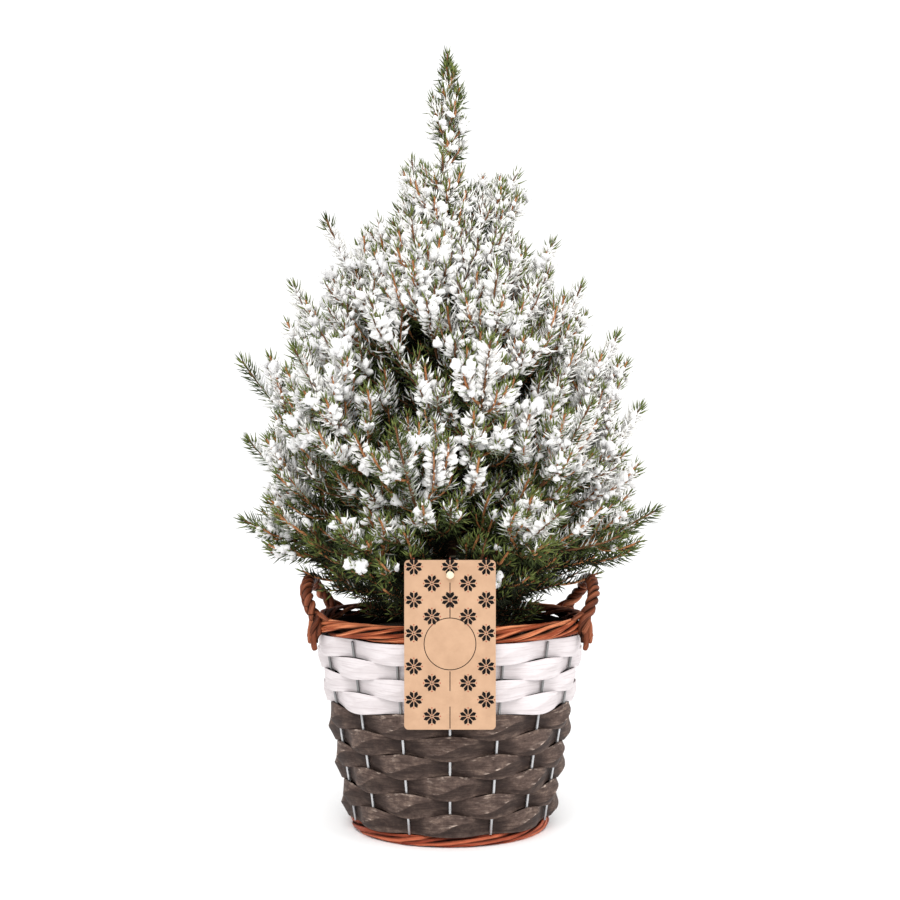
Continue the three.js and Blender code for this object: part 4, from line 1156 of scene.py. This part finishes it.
def needle_places(shoots, density, salt, start=0.0):
    """Needles in a spiral round every shoot: feet, directions and what each one's place is like."""
    count = np.maximum((shoots.length * density).astype(int), FEWEST_NEEDLES)
    index, number = numbered(count)
    t = (number + 0.5) / count[index]
    middle, along, across, over = shoots.at(index, t)
    chance = scatter(index + 0.1 * number, salt)
    angle = number * GOLDEN_ANGLE + TAU * scatter(shoots.key[index], 7) + 0.5 * (chance - 0.5)
    around = turned(across, over, angle)
    from_tip = (1 - t) * shoots.length[index]
    end = smoothstep(8, 0, from_tip)
    spread = np.radians(mix(57, 20, end) + 18 * (scatter(number + index, salt + 1) - 0.5))
    aim = unit(turned(along, around, spread) + UP * 0.12)
    z = middle[:, 2]
    foot = middle + around * (mix(shoots.thick[index], shoots.thin[index], t) * 0.6)[:, None]
    facing = (around * outward(middle, 25.0)).sum(axis=1)
    facing = np.where(z > TRUNK_TIP_Z, 0.2 + 0.8 * chance, facing)
    seen = mix(0.25, 0.75, smoothstep(190, 260, z))
    parted = (facing > 0.8) & (scatter(number * 1.7 + index, salt + 2) < seen) & (from_tip > 8)
    size = NEEDLE_LENGTH * (0.78 + 0.34 * scatter(number + 2.3 * index, salt + 3))
    size = size * mix(1, 0.72, end) * mix(0.7, 1, smoothstep(0, 0.12, t))
    kept = ~parted & (t >= start) & is_free(foot + aim * size[:, None], 30)
    return only(dict(
        foot=foot, aim=aim, around=around, along=along, size=size, t=t, key=shoots.key[index],
        middle=middle, from_tip=from_tip, chance=scatter(number * 3.1 + index, salt + 4)), kept)


def needle_mesh(places, radius, widest):
    """A spindle of six faces for each needle, or a spike of three, bent a little to the tip."""
    foot, aim, size = places["foot"], places["aim"], places["size"][:, None]
    side = unit(np.cross(aim, places["around"] + 0.01))
    bend = places["along"] * (size * 0.14)
    ring = turned(side[:, None], np.cross(side, aim)[:, None], round_angles(3))
    ring = ring * (radius * (0.8 + 0.4 * places["chance"]))[:, None, None]
    tip = (foot + aim * size + bend)[:, None]
    if widest == 0:
        points = np.concatenate([foot[:, None] + ring, tip], axis=1)
        faces = np.array([[0, 1, 3], [1, 2, 3], [2, 0, 3]])
    else:
        middle = foot + aim * size * widest - bend * 0.4
        points = np.concatenate([foot[:, None], middle[:, None] + ring, tip], axis=1)
        faces = np.array([[0, 2, 1], [0, 3, 2], [0, 1, 3], [4, 1, 2], [4, 2, 3], [4, 3, 1]])
    return points, copies(faces, len(points), points.shape[1]), len(faces)


def coat(places):
    """How snowy a needle is, by its height, how exposed it is, its shoot and its spray."""
    middle, t = places["middle"], places["t"]
    z = middle[:, 2]
    exposed = exposure(middle)
    sheltered = smoothstep(430, 330, z)
    least = mix(0.16, 0.44, sheltered)
    outside = smoothstep(least, least + 0.34, exposed) * mix(0.45, 1, smoothstep(0.05, 0.4, t))
    ends = smoothstep(0.45, 0.8, t) * smoothstep(0.3, 0.5, exposed)
    outside = np.maximum(outside, 0.75 * ends)
    share = np.interp(z, SNOW_Z, SNOW_SHARE) * (0.12 + 0.88 * outside)
    greener = mix(0.45, 0.93, smoothstep(470, 520, z))
    share = share * mix(1, greener, smoothstep(0.84, 1.0, exposed))
    tilt = 0.0006 * sheltered + 0.001 * smoothstep(290, 325, z) * smoothstep(470, 430, z)
    share = share + (0.16 * noise(middle, 45, 6) + tilt * middle[:, 0]) * outside
    tufts = 0.5 + 0.8 * noise(middle, 8, 12)
    own = 0.45 * scatter(places["key"], 11) + 0.2 * places["chance"] + 0.35 * tufts
    return share + 0.14 * places["around"][:, 2] - own


def needle_kinds(places):
    """Which needles are of each kind."""
    z = places["middle"][:, 2]
    snowy = coat(places)
    outside = exposure(places["middle"])
    tender = (places["from_tip"] < TENDER_LENGTH) & (outside > 0.45)
    tender &= places["chance"] < mix(0.85, 0.6, smoothstep(360, 420, z))
    bare = ~tender & (snowy <= FROST_OVER)
    # Shaded needles take the deep kind's near-black colours: painted shade inside the crown, over more of
    # it low down.
    shaded = outside < mix(0.5, 0.85, smoothstep(235, 185, z)) * mix(1, 0.4, smoothstep(300, 420, z))
    return dict(
        tender=tender, white=~tender & (snowy > WHITE_OVER),
        frosted=~tender & (snowy > FROST_OVER) & (snowy <= WHITE_OVER),
        green=bare & ~shaded, deep=bare & shaded)


# Snow.
def ball(levels):
    """A sphere of even triangles."""
    phi = (1 + 5**0.5) / 2
    points = []
    for s in (-1, 1):
        for w in (-phi, phi):
            points += [(0, s, w), (s, w, 0), (w, 0, s)]
    points = unit(np.array(points, float))
    near = np.linalg.norm(points[:, None] - points[None], axis=-1) < 1.1
    faces = []
    for a, b, c in np.argwhere(near[:, :, None] & near[:, None] & near):
        if a < b < c:
            faces.append((a, b, c) if np.linalg.det(points[[a, b, c]]) > 0 else (a, c, b))
    points = list(points)
    for _ in range(levels):
        halves, finer = {}, []
        for a, b, c in faces:
            middle = []
            for p, q in ((a, b), (b, c), (c, a)):
                edge = (min(p, q), max(p, q))
                if edge not in halves:
                    halves[edge] = len(points)
                    points.append(unit(points[p] + points[q]))
                middle.append(halves[edge])
            ab, bc, ca = middle
            finer += [(a, ab, ca), (b, bc, ab), (c, ca, bc), (ab, bc, ca)]
        faces = finer
    return np.array(points), np.array(faces)


def lumps(centres, sizes, along, levels, lobes, longer, seed):
    """Snow in lumps, each a cluster of round lobes seen from its middle."""
    sphere, faces = ball(levels)
    rng = np.random.default_rng(seed)
    made = []
    for centre, size, direction in zip(centres, sizes, along):
        places = unit(rng.normal(size=(lobes, 3))) * rng.uniform(0.35, 0.75, (lobes, 1))
        radii = rng.uniform(0.25, 0.48, lobes)
        towards = sphere @ places.T
        root = radii**2 - (places**2).sum(axis=1) + towards**2
        reach = np.where(root > 0, towards + np.sqrt(np.maximum(root, 0)), 0).max(axis=1)
        shape = sphere * np.maximum(reach, 0.5)[:, None]
        shape = shape + direction * (shape @ direction)[:, None] * longer
        made.append(shape * size + centre)
    made = np.array(made)
    away = unit(made - centres[:, None])
    made = made + away * (0.6 * noise(made, 3.4, 5) + 0.25 * noise(made, 1.5, 6))[..., None]
    return made, copies(faces, len(made), len(sphere))


def snow_places(shoots, count, apart, seed):
    """Places on outer, coated shoots, kept apart, most of them high up."""
    rng = np.random.default_rng(seed)
    index = rng.integers(0, len(shoots.a), SNOW_TRIALS)
    t = rng.uniform(0.35, 0.97, SNOW_TRIALS)
    place, along, *_ = shoots.at(index, t)
    exposed = exposure(place)
    high = smoothstep(190, 330, place[:, 2])
    good = (exposed > 0.62) & (scatter(shoots.key[index], 11) > 0.45)
    good &= (rng.uniform(size=SNOW_TRIALS) < 0.12 + 0.88 * high)
    good &= (place[:, 2] < TREE_TOP_Z - 22) & (exposed < 0.97)
    good &= is_free(place + UP * 6) & is_free(place + outward(place) * 8)
    chosen = []
    for i in np.flatnonzero(good):
        if len(chosen) < count and all(np.linalg.norm(place[i] - place[j]) > apart for j in chosen):
            chosen.append(i)
    centres = place[chosen] + UP * 1.5 + outward(place[chosen]) * 1.5
    return centres, along[chosen], rng


def flank_places(shoots, salt):
    """Places for snow on both flanks of every shoot, so that its stem shows between them."""
    count = 2 * np.maximum((shoots.length / FLANK_STEP).astype(int), 1)
    index, number = numbered(count)
    t = (number + 0.15 + 0.7 * scatter(number * 1.9 + index, salt + 8)) / count[index]
    middle, along, *_ = shoots.at(index, t)
    out = outward(middle, 25.0)
    flank = unit(np.cross(along, out) + 0.02) * np.where(number % 2, 1, -1)[:, None]
    chance = scatter(1.7 * number + index, salt)
    around = unit(flank + out * mix(-0.7, 0.3, chance)[:, None])
    aim = unit(around + 0.6 * along + 0.1 * UP)
    centre = middle + aim * mix(4.2, 5.6, scatter(number + 2.9 * index, salt + 5))[:, None]
    kept = ((1 - t) * shoots.length[index] > FLANK_END_ROOM) & is_free(centre + aim * 3)
    return only(dict(centre=centre, aim=aim, around=around, middle=middle, t=t, chance=chance,
                     key=shoots.key[index]), kept)


# Build.
def build_basket():
    make_piece("strips_grey", band(0, GREY_ROWS, WALL_FOOT_Z, BAND_SPLIT_Z - BAND_GAP), GREY_CHIP,
               ["weave_grey"])
    make_piece("strips_white", band(GREY_ROWS, WHITE_ROWS, BAND_SPLIT_Z + BAND_GAP, WALL_TOP_Z),
               WHITE_CHIP, ["weave_white"])
    make_piece("stakes", stakes(), WIRE, ["wire_frame"])
    make_piece("rim_rods", rim(), WILLOW, ["basket_rim"])
    make_piece("foot_rods", foot(), FOOT_WILLOW, ["basket_foot"])
    make_piece("foot_board", [foot_board()], WILLOW, ["basket_foot"], smooth=False)
    for hand, side in (("left", -1), ("right", 1)):
        make_piece(f"handle_{hand}_rods", handle_rods(side) + handle_tails(side), HANDLE_WILLOW,
                   [f"handle_{hand}"])
    make_piece("liner_pot", [liner()], PLASTIC, ["liner"], smooth=False)
    make_piece("soil_top", [soil()], SOIL, ["soil"])


def build_tag():
    tag_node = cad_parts["tag"]
    tag_node.data.materials.clear()
    tag_node.data.materials.append(KRAFT)
    black_print, red_print = tag_print()
    make_piece("tag_stars", black_print, INK, [], smooth=False)
    make_piece("tag_dots", red_print, RED_INK, [], smooth=False)
    make_piece("string_tie", string_tie(), STRING, ["tag_string"])


def build_wood():
    z = TRUNK_CUT_Z + (TRUNK_TIP_Z - TRUNK_CUT_Z) * np.linspace(0, 1, 130) ** 1.1
    relief = [(0.5, 3, 1, 0.45), (0.25, 1.3, 2, 0.5)]
    make_piece("trunk_bark", [tube(trunk_middle(z), trunk_radius(z), 26, relief)], BARK, ["trunk"])
    tubes = []
    for limb in BOUGHS:
        share = np.linspace(0, limb.whorl["bare"] + 0.02, 26)
        radius = mix(limb.whorl["bough"], BOUGH_TIP_RADIUS, share / limb.whorl["bare"])
        tubes.append(tube(limb.point(share), radius, 12, [(0.28, 2, 4, 1)]))
    make_piece("bough_bark", tubes, BARK, [f"bough_{limb.name}" for limb in BOUGHS])


def grow():
    """The limbs' axes, side shoots and twigs, then the trunk's shoots and their twigs."""
    main = axes()
    inner = trunk_shoots()
    is_leader = main.limb == len(LIMBS) - 1
    longest = np.where(is_leader, LEADER_SHOOT_LENGTH, np.minimum(SIDE_SHOOT_LENGTH, main.length * 0.56))
    side = branch(main, SIDE_SHOOTS, 0.05, np.where(is_leader, 0.9, 0.75), longest, taper=0.45,
                  spread=SIDE_SHOOT_SPREAD, stray=0.12, thick=1.35, spare=-9, salt=5)
    longest = np.minimum(TWIG_LENGTH, side.length * TWIG_SHARE)
    twigs = branch(side, TWIGS, 0.1, 0.45, longest, taper=0.35, spread=TWIG_SPREAD, stray=0.15,
                   thick=1.05, spare=-4, salt=8)
    longest = np.minimum(TWIG_LENGTH, inner.length * TWIG_SHARE)
    inner_twigs = branch(inner, INNER_TWIGS, 0.2, 0.8, longest, taper=0.35, spread=TWIG_SPREAD,
                         stray=0.3, thick=0.9, spare=-60, salt=9)
    return main, side, twigs, inner, inner_twigs


def foliage_piece(name, shapes, finish):
    make_piece(name, shapes, finish, FOLIAGE_NODES)


def build_stems(main, side, twigs, inner, inner_twigs):
    foliage_piece("limb_stems", [shoot_tubes(main, 16, 7)], LIMB)
    foliage_piece("shoot_stems", [shoot_tubes(side, 8, 5), shoot_tubes(twigs, 5, 3)], TWIG)
    foliage_piece("inner_stems", [shoot_tubes(inner, 7, 4), shoot_tubes(inner_twigs, 4, 3)], LIMB)


def build_needles(main, side, twigs, inner, inner_twigs):
    """Each kind of needle apart, in pieces that keep to their most triangles."""
    on_limbs = needle_places(main, LIMB_NEEDLES * NEEDLES_PER_MM, 20, 0.15)
    upper = smoothstep(560, 590, on_limbs["middle"][:, 2])
    on_limbs["size"] *= mix(LOW_LIMB_NEEDLE, TOP_LIMB_NEEDLE, upper)
    places = gathered([
        on_limbs, needle_places(side, NEEDLES_PER_MM, 30), needle_places(twigs, NEEDLES_PER_MM, 40),
        needle_places(inner, INNER_NEEDLES_PER_MM, 50, 0.12),
        needle_places(inner_twigs, INNER_NEEDLES_PER_MM, 60)])
    for kind, chosen in needle_kinds(places).items():
        radius, widest, *shades = NEEDLES[kind]
        finish = needle_finish(kind, *shades)
        points, faces, each = needle_mesh(only(places, chosen), radius, widest)
        most = PIECE_TRIANGLES // each
        for part, low in enumerate(range(0, len(points), most)):
            some = points[low:low + most]
            foliage_piece(f"needles_{kind}_{part + 1}", [(some, faces[:len(some) * each])], finish)


def build_clumps(shoots):
    centres, along, rng = snow_places(shoots, SNOW_CLUMPS, SNOW_CLUMPS_APART, 3)
    centres = np.repeat(centres, LUMPS_IN_A_CLUMP, axis=0)
    along = np.repeat(along, LUMPS_IN_A_CLUMP, axis=0)
    strays = np.clip(rng.normal(size=centres.shape), -CLUMP_LIMIT, CLUMP_LIMIT)
    centres = centres + strays * CLUMP_SPREAD
    sizes = rng.uniform(2.8, 5.4, len(centres))
    clumps = lumps(centres, sizes, along, levels=1, lobes=9, longer=0.2, seed=1)
    foliage_piece("snow_clumps", [clumps], SNOW)


def build_bits(shoots):
    centres, along, rng = snow_places(shoots, SNOW_BITS, SNOW_BITS_APART, 4)
    sizes = rng.uniform(3, 5.2, len(centres))
    bits = lumps(centres, sizes, along, levels=1, lobes=9, longer=0.4, seed=2)
    foliage_piece("snow_bits", [bits], SNOW)


def build_flank_snow(grown):
    """Snow along the flanks of all shoots: coarse pads and, among them, finer lumps."""
    flanks = gathered([flank_places(shoots, 70 + i) for i, shoots in enumerate(grown)])
    exposed = exposure(flanks["middle"])
    high = smoothstep(390, 450, flanks["middle"][:, 2])
    caught = (coat(flanks) > SLEEVE_OVER) & (exposed > mix(0.52, 0.36, high))
    caught &= (exposed < 0.95) | (flanks["chance"] < 0.4)
    rows = np.flatnonzero(caught)
    fine = rows % FINE_SHARE == 0
    for name, some, levels, seed in (("snow_pads", rows[~fine], 0, 3), ("snow_lobes", rows[fine], 1, 4)):
        sizes = 2.3 + 2.7 * scatter(1.3 * some, 9) ** 1.5
        pads = lumps(flanks["centre"][some], sizes, flanks["aim"][some], levels, 6, 0.6, seed)
        # The flanks' lighter copy of the snow: painted light for snow in shade.
        foliage_piece(name, [pads], SNOW_LIGHTENED_IN_SHADE)


build_basket()
build_tag()
build_wood()
SHOOTS = grow()
_, SIDE, SIDE_TWIGS, *_ = SHOOTS
build_stems(*SHOOTS)
build_needles(*SHOOTS)
build_clumps(SIDE)
build_bits(SIDE_TWIGS)
build_flank_snow(SHOOTS)


# Studio, in metres.
FLOOR_CORNERS = [(-6, -3, 0), (6, -3, 0), (6, 9, 0), (-6, 9, 0)]
PLANT_MIDDLE = Vector((0, 0, 0.3))
WORLD_STRENGTH = 1.12
CAMERA_PLACE = (0.0, -1.170, 0.292)
CAMERA_LENS = 59.7  # this and the sensor's width in millimetres
CAMERA_SENSOR = 36


def lay_floor():
    mesh = bpy.data.meshes.new("floor")
    mesh.from_pydata(FLOOR_CORNERS, [], [(0, 1, 2, 3)])
    mesh.materials.append(Finish("floor", 0.5).surface(grey(1), 0.9))
    add_object("floor", mesh)


def light_world():
    world = bpy.data.worlds.new("studio")
    bpy.context.scene.world = world
    world.use_nodes = True
    background = world.node_tree.nodes["Background"]
    background.inputs["Color"].default_value = (1, 1, 1, 1)
    background.inputs["Strength"].default_value = WORLD_STRENGTH


def area_light(name, place, size, power):
    """A square lamp that looks at the middle of the plant."""
    light = bpy.data.lights.new(name, "AREA")
    light.size = size
    light.energy = power
    lamp = add_object(name, light)
    lamp.location = place
    lamp.rotation_mode = "QUATERNION"
    lamp.rotation_quaternion = (PLANT_MIDDLE - Vector(place)).to_track_quat("-Z", "Y")


def set_camera():
    lens = bpy.data.cameras.new("camera")
    lens.lens = CAMERA_LENS
    lens.sensor_width = CAMERA_SENSOR
    camera = add_object("camera", lens)
    camera.location = CAMERA_PLACE
    camera.rotation_euler = (np.pi / 2, 0, 0)
    bpy.context.scene.camera = camera


lay_floor()
light_world()
area_light("key", (-0.2, -1.7, 1.8), 1.2, 27)
area_light("side", (1.5, -1.0, 1.0), 1.2, 9)
set_camera()
bpy.context.scene.view_settings.view_transform = "Standard"
